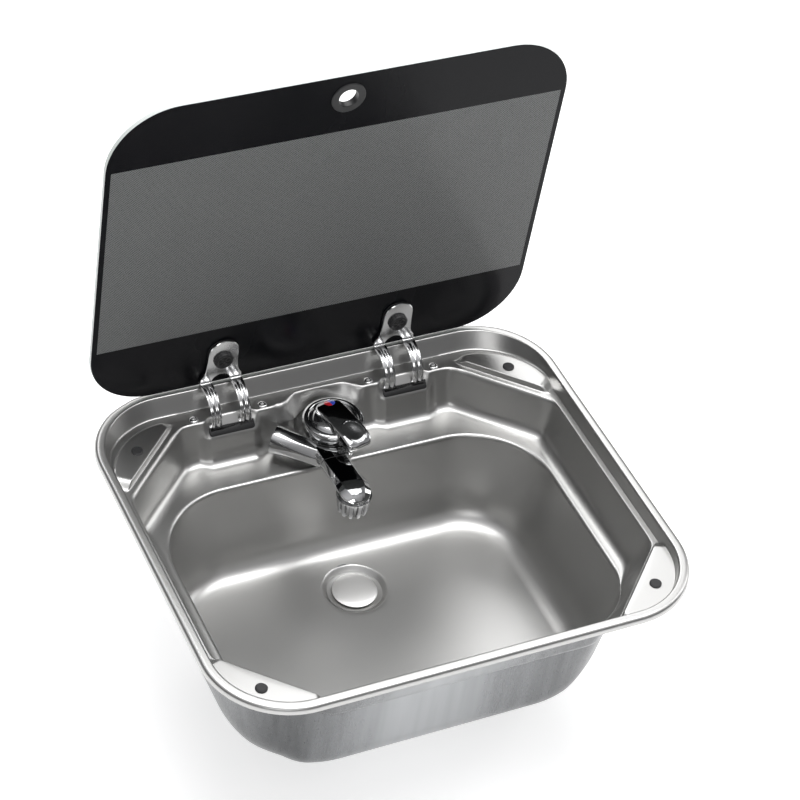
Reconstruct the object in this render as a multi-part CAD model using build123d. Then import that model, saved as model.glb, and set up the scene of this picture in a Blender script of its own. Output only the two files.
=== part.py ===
from build123d import *
import math
import os

# Drop-in sink with a folding glass lid and a low single-lever mixer tap.
# Millimetres. +X right, +Y towards the lid hinges, +Z up.
# Origin: centre of the rim outline, in the plane of the worktop.

# ---------------------------------------------------------------- sheet
SHEET = 0.8
WIDTH, DEPTH = 420.0, 370.0
RIM_RADIUS = 70.0
RIM_TOP = 5.9
RIM_FLAT = 9.0
INNER_X = WIDTH / 2 - RIM_FLAT
INNER_Y = DEPTH / 2 - RIM_FLAT
INNER_RADIUS = RIM_RADIUS - RIM_FLAT
RECESS_Z = -8.0
RECESS_DRAFT = 1.5
RECESS_BACK_RUN = 10.0
PAD_RISE = 5.0
PAD_Z = RECESS_Z + PAD_RISE
PAD_BACK_Y = INNER_Y - 21.2
PAD_SUM_BACK = INNER_X + INNER_Y - 93.2
PAD_SUM_FRONT = INNER_X + INNER_Y - 71.8
# The opening that steps down from the recess to the ledge, and the ledge itself.
LEDGE_Z = -45.0
OPEN_HALF = INNER_X - 7.0
OPEN_FRONT, OPEN_BACK = 7.0 - INNER_Y, INNER_Y - 27.0
OPEN_SUM_BACK = OPEN_HALF + OPEN_BACK - 68.2
OPEN_SUM_FRONT = OPEN_HALF - OPEN_FRONT - 66.8
LEDGE_HALF = OPEN_HALF - 9.0
LEDGE_FRONT, LEDGE_BACK = OPEN_FRONT + 9.0, OPEN_BACK - 11.2
LEDGE_SUM_BACK = LEDGE_HALF + LEDGE_BACK - 62.0
LEDGE_SUM_FRONT = LEDGE_HALF - LEDGE_FRONT - 69.8
OPEN_CORNER = 18.0
LEDGE_FILLET = 7.0
MOUTH_HALF = LEDGE_HALF - 13.0
MOUTH_FRONT, MOUTH_BACK = LEDGE_FRONT + 18.8, LEDGE_BACK - 35.0
MOUTH_R_FRONT, MOUTH_R_BACK = 57.0, 70.0
BOWL_DRAFT = 5.0
FLOOR_Z = -138.0
FLOOR_FILLET = 30.0
DRAIN_Y = MOUTH_BACK - 61.8
DRAIN_R, DRAIN_DEPTH = 28.5, 5.0
DRAIN_Z = FLOOR_Z - DRAIN_DEPTH

# ---------------------------------------------------------------- hinges
HINGE_X = 80.5
PIVOT_Y, PIVOT_Z = INNER_Y - 6.2, RECESS_Z - 4.0
LID_OPEN = 84.6
BOSS_HALF_TOP, BOSS_HALF_FOOT = 22.5, 27.0
BOSS_FRONT_TOP, BOSS_FRONT_FOOT = OPEN_BACK - 3.8, OPEN_BACK - 17.0
SLOPE_Y, SLOPE_Z = PIVOT_Y - 22.7, PIVOT_Z - 2.8
NOTCH_HALF = 21.3
ARC_R, ARC_THICK = 22.5, 3.0
ARM_IN, ARM_OUT = 8.5, 18.0
ARM_MIDDLE = (ARM_IN + ARM_OUT) / 2
ARM_END = 199.0
TAB_HALF, TAB_THICK = 14.5, 2.6
PIN_R = 1.9
HUB_R, HUB_GAP = 3.8, 0.05
EAR_IN, EAR_THICK = 20.0, 2.0
SLOT_SHIFT, SLOT_WIDTH = 0.2, 6.6
SLOT_LENGTH = ARM_OUT - ARM_IN + 1.2
RIVET_REACH, RIVET_Y = 31.1, PIVOT_Y - 16.0
FLANGE = 1.5
COVER_HALF, COVER_FRONT, COVER_BACK, COVER_THICK = 20.5, -7.3, 0.8, 1.8
NOTCH_REACH = 2.1

# ---------------------------------------------------------------- lid
BUMPER_X = INNER_X - 29.3
BUMPER_FRONT, BUMPER_BACK = 29.1 - INNER_Y, INNER_Y - 47.5
BUMPER_R, BUMPER_RISE = 5.0, 1.5
BUMPER_TOP = PAD_Z + BUMPER_RISE
LID_SEAT = 0.3
GLASS_Z = BUMPER_TOP + LID_SEAT
GLASS_THICK = 4.5
GLASS_HALF = INNER_X - 2.7
GLASS_FRONT, GLASS_BACK = 3.0 - INNER_Y, INNER_Y - 24.7
GLASS_RADIUS = INNER_RADIUS - 3.0
LID_SCREW_FROM_BACK = 30.0
LID_HOLE_FROM_FRONT = 23.0
LID_HOLE_R, BUSH_R, BUSH_BORE = 11.5, 14.5, 8.3
LID_GASKET = 1.0
SCREW_R = 3.0
KNOB_R, KNOB_HEIGHT, KNOB_FLUTES = 8.2, 3.6, 12
CAP_RISE = 2.6
TAB_PAST_SCREW = 21.5

# ---------------------------------------------------------------- tap
TAP_X, TAP_Y = 4.5, LEDGE_BACK - 13.3
TAP_HOLE_R = 17.5
POCKET_R_TOP, POCKET_R_FOOT, POCKET_LIP = 34.5, 31.0, 5.0
CAP_R, CAP_TOP, CAP_SKIRT = 26.5, RECESS_Z - 1.5, RECESS_Z - 9.5
DOME_R, DOME_WALL, DOME_GAP = 26.5, 2.3, 0.6
TILT_Z = CAP_TOP - 28.0
TAP_TOP_Z = CAP_TOP - 14.0
FOOT_R = 21.2
TAP_GASKET = 1.2
SHANK_R, SHANK_END = 16.0, LEDGE_Z - 47.0
CARTRIDGE_R, CARTRIDGE_TOP, CARTRIDGE_END = 12.6, TILT_Z + 11.0, TILT_Z - 20.5
STEM_R = 3.4
LEVER_YAW = 11.5
LEVER_REACH, LEVER_TAIL = 37.5, 13.5
LEVER_HALF = 12.0
LEVER_RISE = 3.0
SPOUT_YAW = -6.5
SPOUT_ROOT_X, SPOUT_ROOT_Y = TAP_X - 10.8, TAP_Y - 28.0
SPOUT_LENGTH = 57.0
SPOUT_HALF = 12.6
SPOUT_TOP, SPOUT_END_TOP = CAP_TOP - 8.8, CAP_TOP - 1.0
RING_Y = -12.0
NOZZLE_Y = 2.0 - SPOUT_LENGTH
NOZZLE_R, NOZZLE_TAPER, NOZZLE_FLUTES = 12.2, 2.2, 16
NOZZLE_TOP, NOZZLE_END = SPOUT_END_TOP - 15.5, SPOUT_END_TOP - 25.5
INDEX_R, INDEX_AT = 3.6, (3.5, 7.5)
NUT_R = 20.2
TAIL_X, TAIL_R, TAIL_BORE, TAIL_THREAD_R, TAIL_THREAD = 7.5, 4.0, 2.6, 5.0, 14.0
TAIL_SPREAD, TAIL_BEND_R, TAIL_TOP, TAIL_END = 16.5, 14.0, LEDGE_Z - 21.0, LEDGE_Z - 98.0
ARM_MOUTH = (TAP_X - 52.5, TAP_Y + 4.3, LEDGE_Z + 14.8)
ARM_ROOT = (TAP_X - 13.5, TAP_Y - 28.5, LEDGE_Z + 15.4)
ARM_MOUTH_R, ARM_NECK_R = 12.4, 10.6

# ---------------------------------------------------------------- waste
WASTE_FLANGE_R, WASTE_BORE = 25.0, 16.5
WASTE_TUBE_R = 19.5
PLUG_R = 19.0
WASTE_END = DRAIN_Z - 18.0
ELBOW_DROP = 11.0
SPIGOT_R, SPIGOT_LENGTH = 12.5, 64.0


def outline(half, front, back, radius, z):
    """Rounded rectangle from front to back at height z."""
    flat = RectangleRounded(2 * half, back - front, radius)
    return Pos(0, (front + back) / 2, z) * flat


def octagon(half, front, back, sum_front, sum_back, corner, z):
    """Rectangle with its four corners taken off on the diagonal, edges rounded."""
    points = [
        (half, sum_back - half),
        (sum_back - back, back),
        (back - sum_back, back),
        (-half, sum_back - half),
        (-half, half - sum_front),
        (-(sum_front + front), front),
        (sum_front + front, front),
        (half, half - sum_front),
    ]
    flat = make_face(Polyline(*points, close=True))
    return Pos(0, 0, z) * fillet(flat.vertices(), corner)


def both_sides(shape):
    return [shape, mirror(shape, Plane.YZ)]


# ================================================================ the sheet
# Each hollow is written once and called twice: with skin 0 for the inside face
# and with skin SHEET for the outside face of the pressing.

def recess_hollow(skin):
    floor = outline(
        INNER_X - RECESS_DRAFT + skin,
        -INNER_Y + RECESS_DRAFT - skin,
        INNER_Y - RECESS_BACK_RUN + skin,
        INNER_RADIUS - 1 + skin,
        RECESS_Z - skin,
    )
    top = outline(INNER_X + skin, -INNER_Y - skin, INNER_Y + skin, INNER_RADIUS + skin, RIM_TOP)
    hollow = loft([floor, top], ruled=True)
    foot = hollow.faces().sort_by(Axis.Z)[0].edges()
    hollow = fillet(foot, 2.0 + skin)
    for pad in corner_pads(skin):
        hollow = hollow - pad
    return hollow


def corner_pads(skin):
    """Raised seats that carry the glass, one in each corner of the recess."""
    top = PAD_Z - skin
    height = PAD_RISE + 2
    back_edge = Pos(0, PAD_BACK_Y - skin - DEPTH / 2, top - height / 2) * Box(2 * WIDTH, DEPTH, height)
    shift = skin * math.sqrt(2)
    near, far = WIDTH / 7, WIDTH
    pads = []
    for total, facing in ((PAD_SUM_BACK, 1), (PAD_SUM_FRONT, -1)):
        reach = total + shift
        corner = [(reach - near, near * facing), (near, (reach - near) * facing), (far, far * facing)]
        wedge = make_face(Polyline(*corner, close=True))
        pad = extrude(Pos(0, 0, top) * wedge, amount=height, dir=(0, 0, -1))
        if facing > 0:
            pad = pad & back_edge
        pads += both_sides(pad)
    return pads


def ledge_hollow(skin):
    """Step below the lid recess: sloped walls down to the ledge the tap stands on."""
    top = octagon(
        OPEN_HALF + skin,
        OPEN_FRONT - skin,
        OPEN_BACK + skin,
        OPEN_SUM_FRONT + skin * math.sqrt(2),
        OPEN_SUM_BACK + skin * math.sqrt(2),
        OPEN_CORNER,
        RECESS_Z,
    )
    foot = octagon(
        LEDGE_HALF + skin,
        LEDGE_FRONT - skin,
        LEDGE_BACK + skin,
        LEDGE_SUM_FRONT + skin * math.sqrt(2),
        LEDGE_SUM_BACK + skin * math.sqrt(2),
        OPEN_CORNER,
        LEDGE_Z - skin,
    )
    hollow = loft([foot, top], ruled=True)
    hollow = hollow + tap_pocket(skin)
    for boss in both_sides(hinge_boss(skin)):
        hollow = hollow - boss
    for notch in both_sides(slope_notch(skin)):
        hollow = hollow + notch
    floor = hollow.faces().sort_by(Axis.Z)[0]
    return fillet(floor.edges(), LEDGE_FILLET + skin)


def tap_pocket(skin):
    """Round scoop behind the tap, its top edge rolled over into the recess floor."""
    low, rim = LEDGE_Z - skin, POCKET_R_TOP + POCKET_LIP
    wall = Line((POCKET_R_FOOT + skin, low), (POCKET_R_TOP + skin, RECESS_Z - POCKET_LIP))
    roll = TangentArc(wall @ 1, (rim, RECESS_Z - skin), tangent=wall % 1)
    rest = Polyline((rim, RECESS_Z - skin), (rim, RECESS_Z + 1), (0, RECESS_Z + 1), (0, low), wall @ 0)
    return Pos(TAP_X, TAP_Y, 0) * revolve(Plane.XZ * make_face([wall, roll, rest]), Axis.Z)


def hinge_boss(skin):
    """Pressed bump that houses one hinge; its sloped top carries the arm slot."""
    depth = 60.0
    foot = Pos(0, BOSS_FRONT_FOOT + skin + depth / 2, LEDGE_Z - 5)
    foot = foot * RectangleRounded(2 * (BOSS_HALF_FOOT - skin), depth, 9)
    top = Pos(0, BOSS_FRONT_TOP + skin + depth / 2, RECESS_Z + 5)
    top = top * RectangleRounded(2 * (BOSS_HALF_TOP - skin), depth, 7)
    boss = loft([foot, top], ruled=True)
    above = Box(80, 80, 40, align=(Align.CENTER, Align.CENTER, Align.MIN))
    above = Rot(45, 0, 0) * above
    boss = boss - Pos(0, SLOPE_Y, SLOPE_Z - skin * math.sqrt(2)) * above
    return Pos(HINGE_X, 0, 0) * boss


def slope_notch(skin):
    """Room over the sloped top where it runs back into the deck."""
    low = SLOPE_Y - SLOPE_Z + skin * math.sqrt(2)
    near, top = SLOPE_Y - 3, RECESS_Z
    side = [(near, top), (top + low, top), (near, near - low)]
    wedge = extrude(Plane.YZ * make_face(Polyline(*side, close=True)), NOTCH_HALF + skin, both=True)
    return Pos(HINGE_X, 0, 0) * wedge


def bowl_hollow(skin):
    def shaped(inset, z):
        half = MOUTH_HALF - inset + skin
        front = MOUTH_FRONT + inset - skin
        back = MOUTH_BACK - inset + skin
        points = [(half, front), (half, back), (-half, back), (-half, front)]
        flat = make_face(Polyline(*points, close=True))
        rear = flat.vertices().filter_by_position(Axis.Y, back - 1, back + 1)
        flat = fillet(rear, MOUTH_R_BACK + skin)
        fore = flat.vertices().filter_by_position(Axis.Y, front - 1, front + 1)
        fore = [v for v in fore if abs(v.X) > half - 1]
        flat = fillet(fore, MOUTH_R_FRONT + skin)
        return Pos(0, 0, z) * flat

    hollow = loft([shaped(BOWL_DRAFT, FLOOR_Z - skin), shaped(0, LEDGE_Z)], ruled=True)
    floor = hollow.faces().sort_by(Axis.Z)[0]
    hollow = fillet(floor.edges(), FLOOR_FILLET + skin)
    well = Cone(
        DRAIN_R - 2.5 + skin,
        DRAIN_R + skin,
        DRAIN_DEPTH + skin + 0.5,
        align=(Align.CENTER, Align.CENTER, Align.MIN),
    )
    return hollow + Pos(0, DRAIN_Y, DRAIN_Z - skin) * well


def whole_hollow(skin):
    hollow = recess_hollow(skin) + ledge_hollow(skin) + bowl_hollow(skin)
    return hollow


def sink_bowl():
    block = extrude(outline(WIDTH / 2, -DEPTH / 2, DEPTH / 2, RIM_RADIUS, 0), RIM_TOP)
    block = fillet(block.faces().sort_by(Axis.Z)[-1].edges(), 3.0)
    under = outline(
        WIDTH / 2 - SHEET, -DEPTH / 2 + SHEET, DEPTH / 2 - SHEET, RIM_RADIUS - SHEET, 0
    )
    under = extrude(under, RIM_TOP - SHEET)
    under = fillet(under.faces().sort_by(Axis.Z)[-1].edges(), 3.0 - SHEET)
    outside = whole_hollow(SHEET)
    rim = block - under
    sheet = (rim + outside) - whole_hollow(0)
    hole = Cylinder(TAP_HOLE_R, 20)
    sheet = sheet - Pos(TAP_X, TAP_Y, LEDGE_Z) * hole
    sheet = sheet - Pos(0, DRAIN_Y, DRAIN_Z) * Cylinder(WASTE_TUBE_R + 0.5, 20)
    for side in (-1, 1):
        slope = Pos(side * HINGE_X, SLOPE_Y, SLOPE_Z) * Rot(45, 0, 0)
        for middle in (-ARM_MIDDLE, ARM_MIDDLE):
            sheet = sheet - slope * Pos(middle, SLOT_SHIFT) * Box(SLOT_LENGTH, SLOT_WIDTH, 8)
        for reach in (-RIVET_REACH, RIVET_REACH):
            spot = Pos(side * HINGE_X + reach, RIVET_Y, RECESS_Z)
            sheet = sheet - spot * Cylinder(2.1, 6)
        for y in (BUMPER_BACK, BUMPER_FRONT):
            sheet = sheet - Pos(side * BUMPER_X, y, PAD_Z) * Cylinder(2.0, 6)
    return sheet


# ================================================================ rim and worktop

def rim_seal():
    """Foam strip in the channel under the rim; its lower face lies on the worktop."""
    outer = outline(INNER_X + 5.9, -INNER_Y - 5.9, INNER_Y + 5.9, INNER_RADIUS + 5.9, 0)
    inner = outline(INNER_X + 2.2, -INNER_Y - 2.2, INNER_Y + 2.2, INNER_RADIUS + 2.2, 0)
    return extrude(outer - inner, RIM_TOP - SHEET)


def corner_bumpers():
    profile = [(0, -4.2), (2.6, -3.2), (1.9, -SHEET), (1.9, 0), (BUMPER_R, 0), (BUMPER_R, 0.8)]
    profile += [(BUMPER_R - 1.2, BUMPER_RISE), (0, BUMPER_RISE)]
    one = revolve(Plane.XZ * make_face(Polyline(*profile, close=True)), Axis.Z)
    spots = [(x, y) for x in (-BUMPER_X, BUMPER_X) for y in (BUMPER_FRONT, BUMPER_BACK)]
    return [Pos(x, y, PAD_Z) * one for x, y in spots]


# ================================================================ hinges

def pivot(shape):
    """Places a shape drawn about the hinge pin at the right-hand hinge."""
    return Pos(HINGE_X, PIVOT_Y, PIVOT_Z) * shape


def opened(shape):
    """Swings a shape drawn with the lid closed to the open pose of the photo."""
    back = Pos(0, PIVOT_Y, PIVOT_Z) * Rot(-LID_OPEN, 0, 0) * Pos(0, -PIVOT_Y, -PIVOT_Z)
    return back * shape


def side_plate(points, half_in, half_out):
    """Profile in y and z, given width from half_in to half_out on both sides of x = 0."""
    face = Plane.YZ * make_face(Polyline(*points, close=True))
    plate = Pos(half_in, 0, 0) * extrude(face, half_out - half_in)
    return plate + mirror(plate, Plane.YZ)


def arc_strip(r_in, r_out, start, end):
    """Band between two radii about the pin, from start to end in degrees."""
    turn = [math.radians(angle) for angle in (start, (start + end) / 2, end)]
    inner = [(r_in * math.cos(a), r_in * math.sin(a)) for a in turn]
    outer = [(r_out * math.cos(a), r_out * math.sin(a)) for a in turn]
    edges = [
        ThreePointArc(*inner),
        Line(inner[2], outer[2]),
        ThreePointArc(*outer),
        Line(outer[0], inner[0]),
    ]
    return make_face(edges)


def hinge_arm():
    """Tab under the glass and two curved arms that dive through the slot to the pin."""
    tab_z = GLASS_Z - LID_GASKET - TAB_THICK / 2 - PIVOT_Z
    start = 180 - math.degrees(math.asin(tab_z / ARC_R))
    end = ARM_END + LID_OPEN
    strip = arc_strip(ARC_R - ARC_THICK / 2, ARC_R + ARC_THICK / 2, start, end)
    web = arc_strip(HUB_R - 1.0, ARC_R, end - 11, end)
    arm = extrude(Plane.YZ * (strip + web), ARM_OUT - ARM_IN)
    arm = Pos(ARM_IN, 0, 0) * arm
    hub = Pos(ARM_IN, 0, 0) * Rot(0, 90, 0)
    hub = hub * Cylinder(HUB_R, EAR_IN - 0.4 - ARM_IN, align=(Align.CENTER, Align.CENTER, Align.MIN))
    groove = arc_strip(ARC_R + ARC_THICK / 2 - 0.7, ARC_R + 3, start + 12, end - 14)
    groove = Pos((ARM_IN + ARM_OUT) / 2 - 1.6, 0, 0) * extrude(Plane.YZ * groove, 3.2)
    arm = arm + hub - groove
    arms = arm + mirror(arm, Plane.YZ)
    root = -ARC_R * math.cos(math.asin(tab_z / ARC_R)) - 1.0
    screw = GLASS_BACK - LID_SCREW_FROM_BACK - PIVOT_Y
    tip = screw - TAB_PAST_SCREW
    right = [(TAB_HALF, tip), (TAB_HALF, root - 15), (ARM_OUT, root - 9), (ARM_OUT, root)]
    left = [(-x, y) for x, y in reversed(right)]
    plan = make_face(Polyline(*right, *left, close=True))
    plan = fillet(plan.vertices().filter_by(lambda v: v.Y < tip + 1), TAB_HALF - 1.0)
    plan = fillet(plan.vertices().filter_by(lambda v: root - 16 < v.Y < root - 1), 4.0)
    arch = Pos(0, root - 1.5) * Rectangle(2 * ARM_IN, 9) + Pos(0, root - 6) * Circle(ARM_IN)
    plan = plan - arch
    tab = Pos(0, 0, tab_z - TAB_THICK / 2) * extrude(plan, TAB_THICK)
    tab = tab - Pos(0, screw, tab_z) * Cylinder(SCREW_R + 0.2, 10)
    whole = arms + tab
    whole = whole - Rot(0, 90, 0) * Cylinder(PIN_R + HUB_GAP, 60)
    return opened(pivot(whole))


def lid_gasket():
    screw = GLASS_BACK - LID_SCREW_FROM_BACK
    pad = Pos(HINGE_X, screw - 3, GLASS_Z - LID_GASKET) * extrude(
        RectangleRounded(2 * TAB_HALF - 2, 34, TAB_HALF - 2), LID_GASKET
    )
    return opened(pad - Pos(HINGE_X, screw, GLASS_Z) * Cylinder(SCREW_R + 0.2, 10))


def lid_knob():
    """Knurled thumb nut on the inner face, with the threaded shank through the glass."""
    top = GLASS_Z - LID_GASKET - TAB_THICK
    ring = Circle(KNOB_R)
    for i in range(KNOB_FLUTES):
        turn = 360 / KNOB_FLUTES * i
        ring = ring - Rot(0, 0, turn) * Pos(KNOB_R + 0.5, 0) * Circle(1.2)
    knob = extrude(ring, -KNOB_HEIGHT)
    knob = knob - Pos(0, 0, -KNOB_HEIGHT) * Cylinder(4.0, 2.0)
    shank = Cylinder(SCREW_R, GLASS_THICK + LID_GASKET + TAB_THICK + 1.4)
    shank = Pos(0, 0, (GLASS_THICK + LID_GASKET + TAB_THICK + 0.6) / 2) * shank
    knob = knob + shank
    return opened(Pos(HINGE_X, GLASS_BACK - LID_SCREW_FROM_BACK, top) * knob)


def lid_cap():
    """Low round cap on the outer face of the glass; the shank screws into it."""
    profile = [(0, 1.9), (0, CAP_RISE), (7.0, CAP_RISE), (9.0, CAP_RISE - 1.2), (9.0, 0)]
    profile += [(SCREW_R + 0.1, 0), (SCREW_R + 0.1, 1.9)]
    cap = revolve(Plane.XZ * make_face(Polyline(*profile, close=True)), Axis.Z)
    y = GLASS_BACK - LID_SCREW_FROM_BACK
    return opened(Pos(HINGE_X, y, GLASS_Z + GLASS_THICK) * cap)


def slot_cover():
    """Black bar in front of the two slots, notched at its back for the arms."""
    plate = RectangleRounded(2 * COVER_HALF, COVER_BACK - COVER_FRONT, 2.0)
    plate = Pos(0, (COVER_BACK + COVER_FRONT) / 2) * plate
    plate = extrude(plate, COVER_THICK)
    plate = chamfer(plate.faces().sort_by(Axis.Z)[-1].outer_wire().edges(), 0.5)
    for middle in (-ARM_MIDDLE, ARM_MIDDLE):
        plate = plate - Pos(middle, 0, 0) * Box(SLOT_LENGTH, 2 * NOTCH_REACH, 3 * COVER_THICK)
    return Pos(HINGE_X, SLOPE_Y, SLOPE_Z) * Rot(45, 0, 0) * plate


def hinge_rivets():
    profile = [(0, -3.6), (2.6, -3.4), (3.2, -SHEET - FLANGE), (2.0, -SHEET - FLANGE), (2.0, 0)]
    profile += [(3.25, 0), (2.9, 0.7), (1.6, 1.2), (0, 1.3)]
    one = revolve(Plane.XZ * make_face(Polyline(*profile, close=True)), Axis.Z)
    spots = [s * HINGE_X + r for s in (-1, 1) for r in (-RIVET_REACH, RIVET_REACH)]
    return [Pos(x, RIVET_Y, RECESS_Z) * one for x in spots]


def hinge_housing():
    """Bent bracket riveted under the deck; its ears carry the pin."""
    under = RECESS_Z - SHEET - PIVOT_Z
    back = INNER_Y + 0.5 - PIVOT_Y
    ear = [(-14.6, under - 0.2), (-14.6, -4.0), (-6.0, -8.5), (back, -8.5), (back, 0.0)]
    ear += [(2.0, 0.5), (-4.5, under - 0.2)]
    ears = side_plate(ear, EAR_IN, EAR_IN + EAR_THICK)
    web = Pos(0, back - 1.0, -5.0) * Box(2 * EAR_IN, 2.0, 7.0)
    flange_y = RIVET_Y - PIVOT_Y
    clear = NOTCH_HALF + SHEET + 0.7
    flange = Box(RIVET_REACH + 5.5 - clear, 8.0, FLANGE, align=(Align.MIN, Align.CENTER, Align.MAX))
    flange = Pos(clear, flange_y + 0.4, under) * flange
    neck = Box(clear + 1 - EAR_IN, 3.2, FLANGE, align=(Align.MIN, Align.MAX, Align.MAX))
    flange = flange + Pos(EAR_IN, flange_y + 4.4, under) * neck
    flange = flange - Pos(RIVET_REACH, flange_y, under) * Cylinder(2.1, 6)
    housing = ears + web + flange + mirror(flange, Plane.YZ)
    housing = housing - Rot(0, 90, 0) * Cylinder(PIN_R, 80)
    return pivot(housing)


def hinge_pin():
    pin = Cylinder(PIN_R, 2 * (EAR_IN + EAR_THICK) + 2)
    head = Pos(0, 0, EAR_IN + EAR_THICK + 0.75) * Cylinder(3.0, 1.5)
    return pivot(Rot(0, 90, 0) * (pin + head))


def friction_washers():
    """Cupped spring washers between the two arm hubs; they hold the lid where it is left."""
    rings = []
    reach = ARM_IN - 0.1
    count = 8
    pitch = 2 * reach / count
    for i in range(count):
        lean = 0.7 if i % 2 else -0.7
        x = -reach + pitch * (i + 0.5)
        profile = [(PIN_R + 0.1, x - 0.45 - lean / 2), (PIN_R + 0.1, x + 0.45 - lean / 2)]
        profile += [(HUB_R, x + 0.45 + lean / 2), (HUB_R, x - 0.45 + lean / 2)]
        ring = revolve(Plane.XZ * make_face(Polyline(*profile, close=True)), Axis.Z)
        rings.append(pivot(Rot(0, 90, 0) * ring))
    return rings


# ================================================================ lid

def glass_lid():
    sheet = extrude(outline(GLASS_HALF, GLASS_FRONT, GLASS_BACK, GLASS_RADIUS, GLASS_Z), GLASS_THICK)
    rims = sheet.faces().filter_by(Axis.Z).edges()
    sheet = chamfer(rims, 0.6)
    for side in (-1, 1):
        spot = Pos(side * HINGE_X, GLASS_BACK - LID_SCREW_FROM_BACK, GLASS_Z)
        sheet = sheet - spot * Cylinder(SCREW_R + 0.4, 20)
    sheet = sheet - Pos(0, GLASS_FRONT + LID_HOLE_FROM_FRONT, GLASS_Z) * Cylinder(LID_HOLE_R, 20)
    return opened(sheet)


def lid_hole_bush():
    low, high = -1.2, GLASS_THICK + 1.0
    profile = [(BUSH_BORE, low + 0.5), (BUSH_BORE + 0.6, low), (BUSH_R - 0.6, low)]
    profile += [(BUSH_R, low + 0.6), (BUSH_R, -0.05), (LID_HOLE_R - 0.1, -0.05)]
    profile += [(LID_HOLE_R - 0.1, GLASS_THICK + 0.05), (BUSH_R, GLASS_THICK + 0.05)]
    profile += [(BUSH_R, high - 0.4), (BUSH_R - 0.6, high), (BUSH_BORE + 0.6, high)]
    profile += [(BUSH_BORE, high - 0.5)]
    bush = revolve(Plane.XZ * make_face(Polyline(*profile, close=True)), Axis.Z)
    return opened(Pos(0, GLASS_FRONT + LID_HOLE_FROM_FRONT, GLASS_Z) * bush)


# ================================================================ tap

def at_tap(shape, turn=0.0):
    return Pos(TAP_X, TAP_Y, 0) * Rot(0, 0, turn) * shape


def turned(points):
    return revolve(Plane.XZ * make_face(Polyline(*points, close=True)), Axis.Z)


def spout_solid(grow=0.0):
    """Flattened spout, lofted through rounded sections from the body to its end."""
    rise = SPOUT_END_TOP - SPOUT_TOP
    stations = [
        (14.0, SPOUT_TOP - 1.5, SPOUT_TOP - 14.0, SPOUT_HALF - 1.0),
        (0.0, SPOUT_TOP, SPOUT_TOP - 14.0, SPOUT_HALF),
        (-18.0, SPOUT_TOP + 0.25 * rise, SPOUT_TOP - 11.5, SPOUT_HALF),
        (-38.0, SPOUT_TOP + 0.67 * rise, SPOUT_TOP - 7.2, SPOUT_HALF - 0.4),
        (-SPOUT_LENGTH, SPOUT_END_TOP, SPOUT_END_TOP - 14.0, SPOUT_HALF - 1.0),
    ]
    sections = []
    for y, top, low, half in stations:
        plane = Plane(origin=(0, y, (top + low) / 2), x_dir=(1, 0, 0), z_dir=(0, -1, 0))
        high = top - low + 2 * grow
        sections.append(plane * RectangleRounded(2 * (half + grow), high, 5.0 + grow))
    return loft(sections)


def place_spout(shape):
    return Pos(SPOUT_ROOT_X, SPOUT_ROOT_Y, 0) * Rot(0, 0, SPOUT_YAW) * shape


def spout_with_nose():
    """The spout with its rounded end, which turns straight down to the nozzle."""
    nose = turned([
        (0, NOZZLE_TOP), (NOZZLE_R + 0.6, NOZZLE_TOP), (SPOUT_HALF - 0.8, NOZZLE_TOP + 4.0),
        (SPOUT_HALF - 0.8, SPOUT_END_TOP - 4.5), (SPOUT_HALF - 3.2, SPOUT_END_TOP - 1.0),
        (0, SPOUT_END_TOP + 0.2),
    ])
    return spout_solid() + Pos(0, NOZZLE_Y, 0) * nose


def flared_arm():
    """Side arm of the body that opens towards the back left in a short trumpet."""
    x, y, z = ARM_MOUTH
    dx, dy, dz = (ARM_ROOT[0] - x, ARM_ROOT[1] - y, ARM_ROOT[2] - z)
    length = math.sqrt(dx * dx + dy * dy + dz * dz)
    arm_plane = Plane(origin=ARM_MOUTH, z_dir=(dx, dy, dz))
    profile = [(0, 3.0), (ARM_MOUTH_R - 2.0, 0.0), (ARM_MOUTH_R, 0.0), (ARM_MOUTH_R, 4.0)]
    profile += [(ARM_MOUTH_R - 1.4, 9.0), (ARM_NECK_R + 0.6, 18.0), (ARM_NECK_R, 26.0)]
    profile += [(ARM_NECK_R, length), (0, length)]
    return arm_plane * turned(profile)


def tap_body():
    base = LEDGE_Z + TAP_GASKET
    outer = turned([
        (0, base), (FOOT_R, base), (FOOT_R, base + 2.2), (FOOT_R - 1.6, base + 3.4),
        (FOOT_R - 2.0, base + 10.0), (22.3, TAP_TOP_Z - 3.0), (22.3, TAP_TOP_Z), (0, TAP_TOP_Z),
    ])
    shank_length = base - SHANK_END
    shank = Cylinder(SHANK_R, shank_length, align=(Align.CENTER, Align.CENTER, Align.MAX))
    body = at_tap(outer + Pos(0, 0, base) * shank)
    branches = place_spout(spout_with_nose()) + flared_arm()
    room = Pos(0, 0, TILT_Z) * Sphere(DOME_R + 0.02) - dome_cut(TAP_TOP_Z)
    body = body + (branches - at_tap(room))
    bore = Cylinder(CARTRIDGE_R + 0.2, 80, align=(Align.CENTER, Align.CENTER, Align.MIN))
    body = body - at_tap(Pos(0, 0, CARTRIDGE_END) * bore)
    tails = [Pos(side * TAIL_X, 0, SHANK_END) * Cylinder(TAIL_R + 0.1, 80) for side in (-1, 1)]
    for tail in tails:
        body = body - at_tap(tail)
    ring_gap = spout_solid(2.0) - spout_solid(-0.6)
    cut = Pos(0, RING_Y, -30) * Box(40, 2.0, 60)
    body = body - place_spout(ring_gap & cut)
    outlet = place_spout(Pos(0, NOZZLE_Y, 0) * Cylinder(NOZZLE_R - 1.2, 8))
    body = body - Pos(0, 0, NOZZLE_TOP) * outlet
    return body


def spout_ring():
    """Dark band let into the spout a third of the way along."""
    ring = spout_solid(0.1) - spout_solid(-0.6)
    cut = Pos(0, RING_Y, -30) * Box(40, 2.0, 60)
    return place_spout(ring & cut)


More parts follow.
